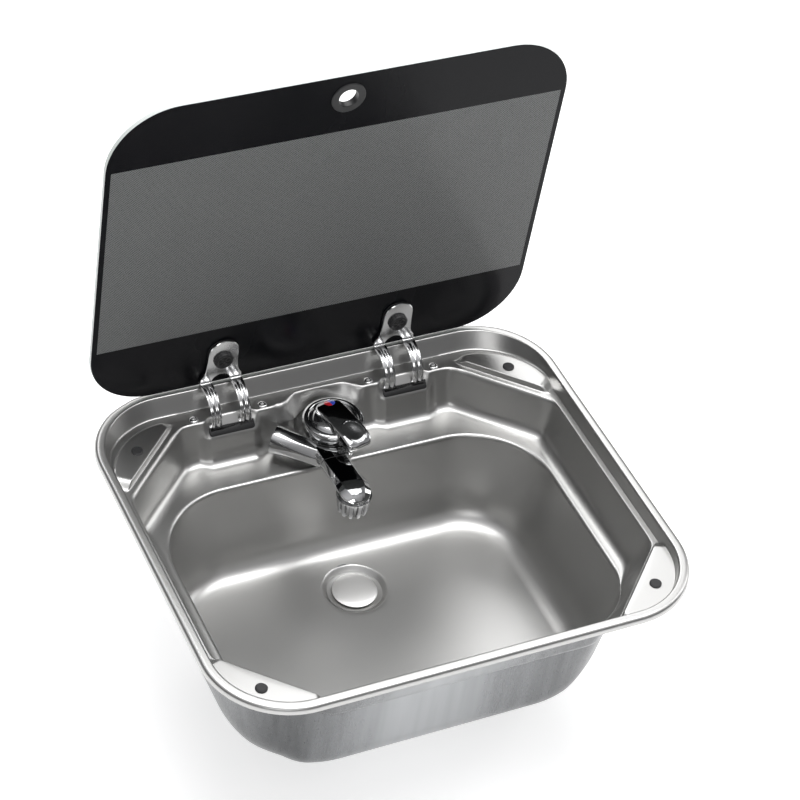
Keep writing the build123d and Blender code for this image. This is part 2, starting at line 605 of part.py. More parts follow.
def nozzle():
    flat = Circle(NOZZLE_R)
    for i in range(NOZZLE_FLUTES):
        turn = 360 / NOZZLE_FLUTES * i
        flat = flat - Rot(0, 0, turn) * Pos(NOZZLE_R + 0.55, 0) * Circle(1.1)
    taper = math.degrees(math.atan(NOZZLE_TAPER / (NOZZLE_TOP - NOZZLE_END)))
    shell = Pos(0, 0, NOZZLE_TOP) * extrude(flat, NOZZLE_END - NOZZLE_TOP, taper=taper)
    neck = Pos(0, 0, NOZZLE_TOP) * Cylinder(NOZZLE_R - 1.3, 3.5, align=(Align.CENTER, Align.CENTER, Align.MIN))
    bore = Cylinder(NOZZLE_R - NOZZLE_TAPER - 2.0, 30)
    return place_spout(Pos(0, NOZZLE_Y, 0) * (shell + neck - Pos(0, 0, NOZZLE_TOP) * bore))


def nozzle_insert():
    disc = Cylinder(NOZZLE_R - NOZZLE_TAPER - 2.1, 3.0)
    for i in range(6):
        disc = disc - Rot(0, 0, 60 * i) * Pos(3.8, 0, 0) * Cylinder(1.1, 10)
    disc = disc - Cylinder(1.1, 10)
    return place_spout(Pos(0, NOZZLE_Y, NOZZLE_END + 2.2) * disc)


def dome_cut(z):
    return Pos(0, 0, z) * Box(80, 80, 80, align=(Align.CENTER, Align.CENTER, Align.MAX))


def tap_dome():
    """Bell cover over the cartridge, round about the centre the lever tilts on."""
    dome = Pos(0, 0, TILT_Z) * (Sphere(DOME_R) - Sphere(DOME_R - DOME_WALL))
    dome = dome - dome_cut(TAP_TOP_Z)
    return at_tap(dome - Cylinder(10.0, 80))


def lever():
    """Stepped round cap with a hood across it that runs on as the lever, dished for the thumb."""
    cap = turned([
        (0, CAP_TOP), (16.5, CAP_TOP - 0.3), (18.6, CAP_TOP - 1.6), (19.4, CAP_TOP - 3.6),
        (22.5, CAP_TOP - 4.0), (25.3, CAP_TOP - 4.8), (CAP_R, CAP_TOP - 6.2),
        (CAP_R - 0.6, CAP_SKIRT), (0, CAP_SKIRT),
    ])
    crown = CAP_TOP + LEVER_RISE
    top = Spline((LEVER_TAIL, crown - 3.2), (8.0, crown - 0.2), (-10.0, crown - 0.6), (-24.0, crown - 2.6),
                 (-LEVER_REACH, crown - 5.6))
    rest = Polyline(top @ 1, (-LEVER_REACH, crown - 8.6), (-30.0, crown - 9.4), (-16.0, crown - 9.4),
                    (LEVER_TAIL, crown - 7.0), top @ 0)
    hood = extrude(Plane.YZ * make_face([top, rest]), LEVER_HALF + 2, both=True)
    plan = Pos(0, (LEVER_TAIL - LEVER_REACH) / 2) * Rectangle(2 * LEVER_HALF, LEVER_REACH + LEVER_TAIL)
    plan = fillet(plan.vertices().filter_by(lambda v: v.Y < 0), 7.0)
    plan = fillet(plan.vertices().filter_by(lambda v: v.Y > LEVER_TAIL - 1), 9.0)
    hood = hood & Pos(0, 0, -30) * extrude(plan, 40)
    whole = cap + hood
    dish = scale(Sphere(1.0), by=(15.5, 22.0, 10.0))
    whole = whole - Pos(0, -LEVER_REACH + 12.5, crown - 2.4) * Rot(11, 0, 0) * Pos(0, 0, 8.6) * dish
    whole = whole - (Pos(0, 0, TILT_Z) * Sphere(DOME_R + DOME_GAP))
    stem = Pos(0, 0, (TILT_Z + CAP_TOP - 1.5) / 2) * Cylinder(STEM_R, CAP_TOP - 1.5 - TILT_Z)
    knuckle = Pos(0, 0, TILT_Z) * Rot(0, 90, 0) * Cylinder(STEM_R, 2 * STEM_R)
    whole = whole + (stem + knuckle)
    whole = whole - Pos(0, 0, TILT_Z) * Rot(0, 90, 0) * Cylinder(1.55, 40)
    whole = whole - Pos(*INDEX_AT, crown) * Cylinder(INDEX_R + 0.1, 2.4)
    return at_tap(whole, LEVER_YAW)


def lever_index():
    """Small round inlay behind the hub, half red and half blue."""
    return at_tap(Pos(*INDEX_AT, CAP_TOP + LEVER_RISE - 0.4) * Cylinder(INDEX_R, 1.2), LEVER_YAW)


def lever_carrier():
    """Turning fork inside the cartridge; the lever stem tilts on its pin."""
    disc = Pos(0, 0, TILT_Z - 6.0) * Cylinder(8.6, 3.0)
    ear = Pos(STEM_R + 1.7, 0, TILT_Z - 1.0) * Box(2.6, 6.0, 9.0)
    fork = disc + ear + mirror(ear, Plane.YZ)
    fork = fork - Pos(0, 0, TILT_Z) * Rot(0, 90, 0) * Cylinder(1.5, 40)
    return at_tap(fork, LEVER_YAW)


def carrier_pin():
    pin = Rot(0, 90, 0) * Cylinder(1.5, 2 * (STEM_R + 3.0))
    return at_tap(Pos(0, 0, TILT_Z) * pin, LEVER_YAW)


def cartridge():
    shell = Cylinder(
        CARTRIDGE_R, CARTRIDGE_TOP - CARTRIDGE_END, align=(Align.CENTER, Align.CENTER, Align.MIN)
    )
    shell = Pos(0, 0, CARTRIDGE_END) * shell
    well = Cylinder(9.0, 40, align=(Align.CENTER, Align.CENTER, Align.MIN))
    shell = shell - Pos(0, 0, TILT_Z - 7.8) * well
    for side in (-1, 1):
        shell = shell - Pos(side * 5.5, 0, CARTRIDGE_END) * Cylinder(2.6, 6)
    return at_tap(shell)


def cartridge_ring():
    ring = Pos(0, 0, CARTRIDGE_TOP + 1.5) * (Cylinder(CARTRIDGE_R, 3.0) - Cylinder(8.6, 10))
    for i in range(4):
        ring = ring - Rot(0, 0, 90 * i) * Pos(CARTRIDGE_R - 1.2, 0, CARTRIDGE_TOP + 3) * Box(2.4, 2.4, 2)
    return at_tap(ring)


def washer(outer, inner, low, high):
    ring = Cylinder(outer, high - low) - Cylinder(inner, 40)
    return at_tap(Pos(0, 0, (low + high) / 2) * ring)


def tap_nut():
    ring = Circle(NUT_R)
    for i in range(6):
        ring = ring - Rot(0, 0, 60 * i) * Pos(NUT_R, 0) * Rectangle(4.0, 3.4)
    ring = ring - Circle(SHANK_R + 0.05)
    return at_tap(Pos(0, 0, -57.5) * extrude(ring, 7.0))


def inlet_tails():
    """Two copper tails out of the shank, bent apart, each with a threaded end for a supply hose."""
    far = TAIL_X + TAIL_SPREAD
    path = FilletPolyline(
        (TAIL_X, 0, TAIL_TOP), (TAIL_X, 0, SHANK_END - 8), (far, 0, SHANK_END - 24), (far, 0, TAIL_END),
        radius=TAIL_BEND_R,
    )
    pipe = sweep(Plane(path @ 0, z_dir=path % 0) * Circle(TAIL_R), path)
    bore = sweep(Plane(path @ 0, z_dir=path % 0) * Circle(TAIL_BORE), path)
    nut = Pos(far, 0, TAIL_END + TAIL_THREAD) * extrude(RegularPolygon(TAIL_THREAD_R + 1.4, 6), 5)
    thread = Pos(far, 0, TAIL_END + TAIL_THREAD / 2) * Cylinder(TAIL_THREAD_R, TAIL_THREAD)
    tail = pipe + nut + thread - bore
    return [at_tap(shape) for shape in both_sides(tail)]


# ================================================================ waste

def at_drain(shape):
    return Pos(0, DRAIN_Y, 0) * shape


def waste_body():
    """Flanged outlet that drops through the drain hole; threaded below for its nut."""
    top = DRAIN_Z + 1.6
    body = turned([
        (WASTE_BORE, top - 1.6), (PLUG_R + 0.4, top), (WASTE_FLANGE_R - 1.0, top),
        (WASTE_FLANGE_R, top - 0.8), (WASTE_FLANGE_R, DRAIN_Z), (WASTE_TUBE_R, DRAIN_Z),
        (WASTE_TUBE_R, WASTE_END), (WASTE_BORE, WASTE_END),
    ])
    return at_drain(body)


def waste_gasket():
    ring = turned([
        (WASTE_TUBE_R + 0.1, DRAIN_Z - SHEET - 2.5), (WASTE_FLANGE_R + 1, DRAIN_Z - SHEET - 2.5),
        (WASTE_FLANGE_R + 1, DRAIN_Z - SHEET), (WASTE_TUBE_R + 0.1, DRAIN_Z - SHEET),
    ])
    return at_drain(ring)


def waste_nut():
    top = DRAIN_Z - SHEET - 2.5
    ring = Circle(WASTE_FLANGE_R + 1.5)
    for i in range(12):
        ring = ring - Rot(0, 0, 30 * i) * Pos(WASTE_FLANGE_R + 2.6, 0) * Circle(2.4)
    ring = ring - Circle(WASTE_TUBE_R + 0.05)
    return at_drain(Pos(0, 0, top) * extrude(ring, -8.0))


def waste_elbow():
    """Bend under the outlet with a ribbed spigot for the drain hose, facing right."""
    turn_z = WASTE_END - ELBOW_DROP
    cup = turned([
        (0, turn_z - 13.0), (WASTE_TUBE_R - 6.5, turn_z - 13.0), (WASTE_TUBE_R - 0.5, turn_z - 6.0),
        (WASTE_TUBE_R + 2.2, WASTE_END - 4.0), (WASTE_TUBE_R + 2.2, WASTE_END + 5.0),
        (0, WASTE_END + 5.0),
    ])
    profile = [(0, 0), (SPIGOT_R + 0.6, 0), (SPIGOT_R + 0.6, 20), (SPIGOT_R, 22)]
    for i in range(3):
        step = 26 + 5 * i
        profile += [(SPIGOT_R, step), (SPIGOT_R + 0.9, step + 0.6), (SPIGOT_R, step + 3.4)]
    profile += [(SPIGOT_R, SPIGOT_LENGTH), (0, SPIGOT_LENGTH)]
    spigot = Pos(0, 0, turn_z) * Rot(0, 90, 0) * turned(profile)
    inside = turned([
        (0, turn_z - 11.2), (WASTE_TUBE_R - 8.0, turn_z - 11.2), (WASTE_TUBE_R - 3.0, turn_z - 5.0),
        (WASTE_BORE, WASTE_END - 3.0), (WASTE_BORE, WASTE_END - 0.5), (WASTE_TUBE_R + 0.1, WASTE_END - 0.5),
        (WASTE_TUBE_R + 0.1, WASTE_END + 6.0), (0, WASTE_END + 6.0),
    ])
    way = Pos(0, 0, turn_z) * Rot(0, 90, 0)
    way = way * Cylinder(SPIGOT_R - 2.0, SPIGOT_LENGTH + 10, align=(Align.CENTER, Align.CENTER, Align.MIN))
    return at_drain(cup + spigot - inside - way)


def plug():
    """Loose domed stopper that sits in the outlet; lifted out by hand."""
    low = DRAIN_Z + 1.9
    body = turned([
        (0, low - 9.0), (WASTE_BORE - 4.0, low - 9.0), (WASTE_BORE - 3.0, low - 7.5),
        (WASTE_BORE - 3.0, low), (PLUG_R, low), (PLUG_R, low + 0.6), (PLUG_R - 3, low + 1.6),
        (PLUG_R - 9, low + 2.5), (0, low + 2.9),
    ])
    return at_drain(body)


def plug_seal():
    low = DRAIN_Z + 1.9
    ring = turned([
        (WASTE_BORE - 2.9, low - 5.5), (WASTE_BORE - 1.0, low - 5.0), (WASTE_BORE - 0.4, low - 3.2),
        (WASTE_BORE - 1.0, low - 1.6), (WASTE_BORE - 2.9, low - 1.4),
    ])
    return at_drain(ring)


# ================================================================ output

def write(name, shapes):
    if not isinstance(shapes, list):
        shapes = [shapes]
    solids = []
    for shape in shapes:
        solids += shape.solids()
    if len(solids) == 1:
        export_step(solids[0], "parts/" + name + ".step")
    else:
        export_step(Compound(children=solids), "parts/" + name + ".step")


def write_pair(name, shape):
    write(name + "_right", shape)
    write(name + "_left", mirror(shape, Plane.YZ))


def pair_of(shapes):
    return [mirror(shape, Plane.YZ) for shape in shapes]


os.makedirs("parts", exist_ok=True)
write("sink_bowl", sink_bowl())
write("rim_seal", rim_seal())
write("corner_bumpers", corner_bumpers())
write_pair("hinge_arm", hinge_arm())
write_pair("lid_gasket", lid_gasket())
write_pair("lid_knob", lid_knob())
write_pair("lid_cap", lid_cap())
write_pair("slot_cover", slot_cover())
write_pair("hinge_housing", hinge_housing())
write_pair("hinge_pin", hinge_pin())
write("friction_washers_right", friction_washers())
write("friction_washers_left", pair_of(friction_washers()))
write("hinge_rivets", hinge_rivets())
write("glass_lid", glass_lid())
write("lid_hole_bush", lid_hole_bush())
write("tap_body", tap_body())
write("tap_dome", tap_dome())
write("spout_ring", spout_ring())
write("nozzle", nozzle())
write("nozzle_insert", nozzle_insert())
write("cartridge", cartridge())
write("cartridge_ring", cartridge_ring())
write("lever_carrier", lever_carrier())
write("carrier_pin", carrier_pin())
write("lever", lever())
write("lever_index", lever_index())
write("tap_gasket", washer(FOOT_R - 0.3, SHANK_R + 0.1, LEDGE_Z, LEDGE_Z + TAP_GASKET))
write("tap_washer", washer(NUT_R, SHANK_R + 0.1, -50.5, LEDGE_Z - SHEET))
write("tap_nut", tap_nut())
write("inlet_tails", inlet_tails())
write("waste_body", waste_body())
write("waste_gasket", waste_gasket())
write("waste_nut", waste_nut())
write("waste_elbow", waste_elbow())
write("plug", plug())
write("plug_seal", plug_seal())
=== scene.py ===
import math

import bmesh
import bpy
import numpy as np
from mathutils import Matrix, Vector


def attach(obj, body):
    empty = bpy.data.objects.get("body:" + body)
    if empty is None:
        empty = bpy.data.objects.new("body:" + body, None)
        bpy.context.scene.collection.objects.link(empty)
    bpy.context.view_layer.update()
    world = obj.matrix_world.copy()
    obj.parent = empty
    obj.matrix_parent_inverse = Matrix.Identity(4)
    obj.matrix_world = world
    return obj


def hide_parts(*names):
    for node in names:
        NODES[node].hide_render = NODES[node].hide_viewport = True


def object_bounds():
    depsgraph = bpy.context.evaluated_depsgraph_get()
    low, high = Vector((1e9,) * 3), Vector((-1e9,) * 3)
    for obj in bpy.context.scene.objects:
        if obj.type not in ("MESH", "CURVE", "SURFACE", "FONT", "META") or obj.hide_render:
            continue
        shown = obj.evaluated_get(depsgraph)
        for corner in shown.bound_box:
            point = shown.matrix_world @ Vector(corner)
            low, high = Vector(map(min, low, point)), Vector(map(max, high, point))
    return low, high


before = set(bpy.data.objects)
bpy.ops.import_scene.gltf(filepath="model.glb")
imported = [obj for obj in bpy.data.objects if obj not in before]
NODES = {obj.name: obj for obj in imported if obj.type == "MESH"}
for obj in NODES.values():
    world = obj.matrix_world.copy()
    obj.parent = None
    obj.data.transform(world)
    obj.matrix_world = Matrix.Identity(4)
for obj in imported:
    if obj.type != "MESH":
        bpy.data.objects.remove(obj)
CAD_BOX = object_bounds()
MM, ROOT_2 = 0.001, math.sqrt(2)

# Sizes in millimetres, in the frame of the CAD: +X right, +Y towards the lid, +Z up.
SHEET = 0.8
RIM_TOP, RECESS_Z, PAD_Z, LEDGE_Z, FLOOR_Z, WELL_Z = 5.9, -8.0, -3.0, -45.0, -138.0, -143.0
HINGE_X, PIVOT_Y, PIVOT_Z = 80.5, 169.8, -12.0
RIVET_OFF, RIVET_Y = 31.1, 154.6
LID_OPEN = math.radians(84.6)
SLOPE_Y, SLOPE_Z = 147.1, -14.8
ARM_R, ARM_IN, ARM_OUT = 22.5, 8.5, 18.0
TAB_Z, TAB_HALF, TAB_SCREW, TAB_TIP = 8.5, 1.3, -48.5, -70.0
GLASS_LOW, GLASS_THICK, GLASS_BEVEL = 10.8, 4.5, 0.35
DOT_PITCH, DOT_R = 1.9, 0.64
PANEL_HALF, PANEL_NEAR, PANEL_FAR = 193.5, 84.0, 285.0
TAP_X, TAP_Y, TAP_HOLE_R = 4.5, 124.5, 17.0
LEVER_YAW = math.radians(12.5)
LEVER_REACH, LEVER_TAIL, LEVER_HALF = 42.0, 17.0, 11.9
INDEX_R, INDEX_AT = 4.8, (1.9, 10.2)
DRAIN_Y = 41.0

# Rounded boxes in plan: half width, front, back, corner radius.
RIM_OUTER = (210.0, -185.0, 185.0, 70.0)
RIM_INNER = (201.0, -176.0, 176.0, 61.0)
WALL_FOOT = (199.5, -174.5, 166.0, 60.0)
PAD_LIMIT = (198.5, -300.0, 154.8, 58.0)
# The flat floor is rounder at its front corners, ahead of the split.
FLOOR_SPLIT = -20.0
FLOOR_FRONT = (167.0, -136.2, 97.8, 80.0)
FLOOR_BACK = (167.0, -136.2, 97.8, 65.0)
# Eight-sided openings: half width, front, and the sums |x| + |y| of the front and back corners.
RECESS_CORNERS = (194.0, -169.0, 296.2, 274.8)
LEDGE_CORNERS = (185.0, -160.0, 275.2, 260.8)
PAD_FRONT_SUM, PAD_BACK_SUM = 297.4, 283.8
# Back lines: y between the bosses and at one, its half width, the radius round the tap, the
# softness of the steps and of the blend.
LEDGE_LINE = (137.8, 132.8, 25.0, 28.0, 13.0, 4.0)
RECESS_LINE = (149.0, 153.9, 21.3, 32.0, 8.0, 5.0)
PLAIN_LINE = (149.0, 149.0, 21.3, 32.0, 8.0, 5.0)
BOSS_BEND_Y, BOSS_BEND_Z, HOLLOW_Y, BACK_PAD_FROM = 140.6, -21.3, 160.2, 92.0


# ---------------------------------------------------------------- materials
class Mat:
    """A Principled material and the few node recipes that the finishes share."""

    def __init__(self, name):
        self.m = bpy.data.materials.new(name)
        self.m.use_nodes = True
        self.t = self.m.node_tree
        self.t.nodes.clear()
        self.out = self.t.nodes.new("ShaderNodeOutputMaterial")
        self.b = self.t.nodes.new("ShaderNodeBsdfPrincipled")
        self.t.links.new(self.b.outputs[0], self.out.inputs[0])
        self.coord = self.t.nodes.new("ShaderNodeTexCoord").outputs["Object"]

    def node(self, kind, **values):
        n = self.t.nodes.new(kind)
        for key, value in values.items():
            if key.startswith("_"):
                setattr(n, key[1:], value)
            else:
                n.inputs[key.replace("_", " ")].default_value = value
        return n

    def link(self, a, b):
        self.t.links.new(a, b)

    def set(self, **values):
        for key, value in values.items():
            self.b.inputs[key.replace("_", " ")].default_value = value

    def mapped(self, scale=(1, 1, 1), turn=(0, 0, 0), move=(0, 0, 0), source=None):
        n = self.node("ShaderNodeMapping", Scale=scale, Rotation=turn, Location=move)
        self.link(source or self.coord, n.inputs["Vector"])
        return n.outputs[0]

    def noise(self, scale, detail=3.0, stretch=(1, 1, 1)):
        n = self.node("ShaderNodeTexNoise", Scale=scale, Detail=detail)
        self.link(self.mapped(stretch), n.inputs["Vector"])
        return n.outputs[0]

    def ramp(self, fac, low, high, a=0.0, b=1.0):
        """Maps a..b of a socket to low..high."""
        n = self.node("ShaderNodeMapRange", From_Min=a, From_Max=b, To_Min=low, To_Max=high)
        self.link(fac, n.inputs["Value"])
        return n.outputs[0]

    def parts(self, vector):
        """The three coordinates of a vector socket."""
        n = self.node("ShaderNodeSeparateXYZ")
        self.link(vector, n.inputs[0])
        return n.outputs

    def mix(self, fac, a, b):
        """Colour mix; a and b are colours or sockets."""
        n = self.node("ShaderNodeMix", _data_type="RGBA")
        for index, value in ((6, a), (7, b)):
            if isinstance(value, bpy.types.NodeSocket):
                self.link(value, n.inputs[index])
            else:
                n.inputs[index].default_value = (*value, 1)
        self.link(fac, n.inputs[0])
        return n.outputs[2]

    def math(self, operation, a, b=0.0, c=0.0):
        n = self.node("ShaderNodeMath", _operation=operation)
        for index, value in enumerate((a, b, c)):
            if isinstance(value, bpy.types.NodeSocket):
                self.link(value, n.inputs[index])
            else:
                n.inputs[index].default_value = value
        return n.outputs[0]

    def bump(self, height, strength, distance):
        n = self.node("ShaderNodeBump", Strength=strength, Distance=distance)
        self.link(height, n.inputs["Height"])
        self.link(n.outputs[0], self.b.inputs["Normal"])


def steel(name, tone, rough, grain=(1, 1, 1), grain_bump=0.01, painted_sheen_bands=()):
    """Satin steel; the bands, if given, are (place, brightness) stops of soft upright bright and
    dark streaks across the sink, painted reflections of the studio lights.
    """
    m = Mat(name)
    m.set(Metallic=1.0)
    mottle_and_sheen, tint = m.noise(7.0, 4.0), 0.015
    # Painted reflection: the bands and the noise streaks lighten and darken the colour across the
    # sink, in place of reflected studio lights.
    if painted_sheen_bands:
        across, half = m.parts(m.coord)[0], RIM_OUTER[0] * MM
        swell = m.node("ShaderNodeValToRGB")
        swell.color_ramp.interpolation = "B_SPLINE"
        for (x, value), stop in zip(painted_sheen_bands, [swell.color_ramp.elements.new(0.5) for _ in painted_sheen_bands]):
            stop.position, stop.color = x, (value, value, value, 1)
        m.link(m.ramp(across, 0.0, 1.0, -half, half), swell.inputs[0])
        streak = m.ramp(m.noise(90.0, 2.0, (1, 1, 0.02)), -0.06, 0.06, 0.3, 0.7)
        mottle_and_sheen, tint = m.math("ADD", swell.outputs[0], streak), 0.8
    low = [max(c * (1 - tint), 0.03) for c in tone]
    high = [min(1, c * (1 + tint)) for c in tone]
    m.link(m.mix(mottle_and_sheen, low, high), m.b.inputs["Base Color"])
    fine = m.noise(900.0, 1.0, grain)
    wide = m.ramp(mottle_and_sheen, -0.015, 0.015, 0.3, 0.7)
    close = m.ramp(fine, rough - 0.015, rough + 0.015, 0.3, 0.7)
    m.link(m.math("ADD", wide, close), m.b.inputs["Roughness"])
    m.bump(fine, grain_bump, 0.00005)
    return m.m


def chrome(name, tone, rough, painted_dark_reflection=0.0):
    """Bright plating; faces that look up may be painted darker, towards near black, as a painted
    reflection of the dark lid above them.
    """
    m = Mat(name)
    m.set(Metallic=1.0)
    haze = m.noise(30.0, 5.0)
    plate = m.mix(haze, (tone,) * 3, (tone + 0.06, tone + 0.065, tone + 0.07))
    if painted_dark_reflection:
        # Painted reflection of the dark lid: the more a face looks up, the more its colour is mixed
        # towards near black.
        upward = m.parts(m.node("ShaderNodeNewGeometry").outputs["Normal"])[2]
        plate = m.mix(m.ramp(upward, 0.0, painted_dark_reflection, 0.66, 0.86), plate, (0.05, 0.052, 0.056))
    m.link(plate, m.b.inputs["Base Color"])
    m.link(m.ramp(haze, rough - 0.02, rough + 0.03, 0.3, 0.8), m.b.inputs["Roughness"])
    m.bump(m.noise(60.0, 2.0), 0.02, 0.0002)
    return m.m


def plastic(name, tone, rough, grain=1400.0, strength=0.15):
    m = Mat(name)
    patch = m.noise(40.0, 3.0)
    low, high = [c * 0.8 for c in tone], [c * 1.25 for c in tone]
    m.link(m.mix(patch, low, high), m.b.inputs["Base Color"])
    m.link(m.ramp(patch, rough - 0.06, rough + 0.08, 0.3, 0.7), m.b.inputs["Roughness"])
    m.bump(m.noise(grain, 2.0), strength, 0.0002)
    return m.m


def printed_glass():
    """Black print on the glass, with a field of small clear dots, and pale ground edges."""
    m = Mat("printed_glass")
    # Back to the frame of the closed lid: x across, y along the lid, z through the glass.
    hinged = m.mapped(move=(0, -PIVOT_Y * MM, -PIVOT_Z * MM))
    across, along, through = m.parts(m.mapped(turn=(LID_OPEN, 0, 0), source=hinged))

    def distance(a, b):
        squares = m.math("ADD", m.math("POWER", a, 2.0), m.math("POWER", b, 2.0))
        return m.math("POWER", squares, 0.5)

    # Two square grids of dots, one set in the middle of the other.
    cell = DOT_PITCH * MM / 2
    row, col = m.math("PINGPONG", along, cell), m.math("PINGPONG", across, cell)
    near = distance(row, col)
    far = distance(m.math("SUBTRACT", cell, row), m.math("SUBTRACT", cell, col))
    dot = m.math("LESS_THAN", m.math("MINIMUM", near, far), DOT_R * MM)
    between = m.math("LESS_THAN", m.math("ABSOLUTE", across), PANEL_HALF * MM)
    mid, half = -(PANEL_NEAR + PANEL_FAR) / 2 * MM, (PANEL_FAR - PANEL_NEAR) / 2 * MM
    inside = m.math("MULTIPLY", between, m.math("COMPARE", along, mid, half))
    dot = m.math("MULTIPLY", dot, inside)
    deep = m.math("ABSOLUTE", m.math("SUBTRACT", through, (GLASS_LOW + GLASS_THICK / 2) * MM))
    edge = m.math("LESS_THAN", deep, (GLASS_THICK / 2 - GLASS_BEVEL) * MM)
    print_tone = m.mix(dot, (0.0040, 0.0042, 0.0056), (0.21, 0.217, 0.214))
    m.link(m.mix(edge, print_tone, (0.60, 0.63, 0.62)), m.b.inputs["Base Color"])
    smear = m.noise(14.0, 4.0, (1, 1, 0.4))
    m.link(m.ramp(smear, 0.17, 0.30, 0.3, 0.7), m.b.inputs["Roughness"])
    m.set(IOR=1.5, Specular_IOR_Level=0.12)
    return m.m


def index_mark():
    """Half red, half blue, split along the lever."""
    m = Mat("index_mark")
    centred = m.mapped(move=(-TAP_X * MM, -TAP_Y * MM, 0))
    across = m.parts(m.mapped(turn=(0, 0, -LEVER_YAW), source=centred))[0]
    side = m.math("GREATER_THAN", across, INDEX_AT[0] * MM)
    m.link(m.mix(side, (0.42, 0.012, 0.02), (0.035, 0.07, 0.42)), m.b.inputs["Base Color"])
    m.link(m.ramp(m.noise(200.0), 0.2, 0.32), m.b.inputs["Roughness"])
    m.set(Coat_Weight=0.6, Coat_Roughness=0.08)
    return m.m


SHEET_STEEL = steel("sheet_steel", (0.50, 0.498, 0.490), 0.35)
# Outer face of the sheet: a darker tone than the upper face as painted shade, with painted
# reflection bands across the sink.
BACK_STEEL = steel(
    "outer_steel", (0.27, 0.276, 0.282), 0.28, (1, 1, 0.15), 0.02,
    painted_sheen_bands=[(0.06, 0.6), (0.14, 0.12), (0.23, 0.2), (0.42, 1.0), (0.56, 0.62), (0.70, 0.25),
           (0.95, 0.16)])
FITTING = steel("fitting_steel", (0.55, 0.56, 0.57), 0.30, (1, 1, 6))
DISC_STEEL = steel("disc_steel", (0.80, 0.795, 0.785), 0.42)
CHROME = chrome("chrome_plate", 0.80, 0.06)
# Tap chrome: its up-facing faces are painted near black, a painted reflection of the dark lid.
TAP_CHROME = chrome("tap_chrome", 0.80, 0.06, 0.78)
SOFT_CHROME = chrome("soft_chrome", 0.60, 0.13)
GRIP_CHROME = chrome("grip_chrome", 0.34, 0.08)
HINGE_CHROME = chrome("hinge_chrome", 0.72, 0.16)
BLACK = plastic("black_moulding", (0.018, 0.018, 0.019), 0.40)
RUBBER = plastic("black_rubber", (0.016, 0.016, 0.017), 0.62, 2200.0, 0.3)
BRASS = steel("turned_brass", (0.62, 0.44, 0.18), 0.28, (1, 1, 12))
GLASS = printed_glass()
MARK = index_mark()


def paint(name, material):
    node = NODES[name]
    for slot in node.material_slots:
        slot.material = material
    if not node.material_slots:
        node.data.materials.append(material)


# ---------------------------------------------------------------- mesh helpers
def mesh_object(name, verts, faces, material, sharp):
    """Smooth mesh from millimetres; edges sharper than the angle stay hard, if one is given."""
    me = bpy.data.meshes.new(name)
    me.from_pydata([tuple(v) for v in np.asarray(verts, dtype=float) * MM], [], faces)
    me.validate()
    bm = bmesh.new()
    bm.from_mesh(me)
    bmesh.ops.recalc_face_normals(bm, faces=bm.faces)
    bm.to_mesh(me)
    bm.free()
    me.polygons.foreach_set("use_smooth", [True] * len(me.polygons))
    if sharp:
        me.set_sharp_from_angle(angle=math.radians(sharp))
    me.materials.append(material)
    o = bpy.data.objects.new(name, me)
    bpy.context.scene.collection.objects.link(o)
    return o


def finish(piece, body, slot, *nodes):
    """Puts a piece on its body in place of the CAD nodes named, which it hides; its slot is not
    used.
    """
    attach(piece, body)
    if nodes:
        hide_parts(*nodes)


def ring_faces(rows, cols, start=0):
    """Quads between rings of equal length that follow each other."""
    faces = []
    for i in range(rows - 1):
        a, b = start + i * cols, start + (i + 1) * cols
        for j in range(cols):
            k = (j + 1) % cols
            faces.append((a + j, a + k, b + k, b + j))
    return faces


def full_turn(steps):
    return np.linspace(0, 2 * math.pi, steps, endpoint=False)


def circle(radius, height, turn, centre=(0.0, 0.0)):
    """Level ring about an upright axis; its radius and height may vary along the turn."""
    return np.column_stack([radius * np.cos(turn) + centre[0], radius * np.sin(turn) + centre[1],
                            np.broadcast_to(height, turn.shape)])


def level_ring(outline, z):
    return np.column_stack([outline, np.full(len(outline), float(z))])


class Build:
    """Collects lofted and lathed skins into one mesh."""

    def __init__(self):
        self.verts, self.faces, self.count = [], [], 0

    def loft(self, rings, caps=True):
        rings = [np.asarray(r, dtype=float) for r in rings]
        n, start = len(rings[0]), self.count
        self.verts += rings
        self.count += n * len(rings)
        self.faces += ring_faces(len(rings), n, start)
        if caps:
            self.faces.append(tuple(range(start, start + n)))
            self.faces.append(tuple(range(self.count - n, self.count)))
        return self

    def lathe(self, profile, centre=(0.0, 0.0), steps=96, closed=False):
        """Turns a list of (radius, height) about the vertical through centre."""
        turn = full_turn(steps)
        rings = [circle(max(r, 0.01), z, turn, centre) for r, z in profile]
        if closed:
            rings.append(rings[0])
        return self.loft(rings, caps=not closed)

    def plate(self, outline, low, high, bevel):
        """Flat plate from a plan outline, both of its rims bevelled."""
        outline = np.asarray(outline, dtype=float)
        inner = inset(outline, bevel)
        return self.loft([level_ring(inner, low), level_ring(outline, low + bevel),
                          level_ring(outline, high - bevel), level_ring(inner, high)])

    def add(self, other):
        self.faces += [tuple(i + self.count for i in face) for face in other.faces]
        self.verts += other.verts
        self.count += other.count

    def moved(self, function):
        self.verts = [function(v) for v in self.verts]
        return self

    def make(self, name, material, sharp=40.0):
        return mesh_object(name, np.vstack(self.verts), self.faces, material, sharp)


def rounded(points, radii, steps=6):
    """Closed outline whose corners become curves, each with the same number of points."""
    points = np.asarray(points, dtype=float)
    ring = []
    for i, corner in enumerate(points):
        a, b = points[i - 1] - corner, points[(i + 1) % len(points)] - corner
        la, lb = np.hypot(*a), np.hypot(*b)
        a, b = a / la, b / lb
        half = math.acos(np.clip(a @ b, -1, 1)) / 2
        radius = radii[i] if hasattr(radii, "__len__") else radii
        cut = min(radius / max(math.tan(half), 1e-3), 0.48 * min(la, lb))
        start, end = corner + a * cut, corner + b * cut
        for f in np.linspace(0, 1, steps + 1):
            ring.append((1 - f) ** 2 * start + 2 * f * (1 - f) * corner + f * f * end)
    return np.array(ring)


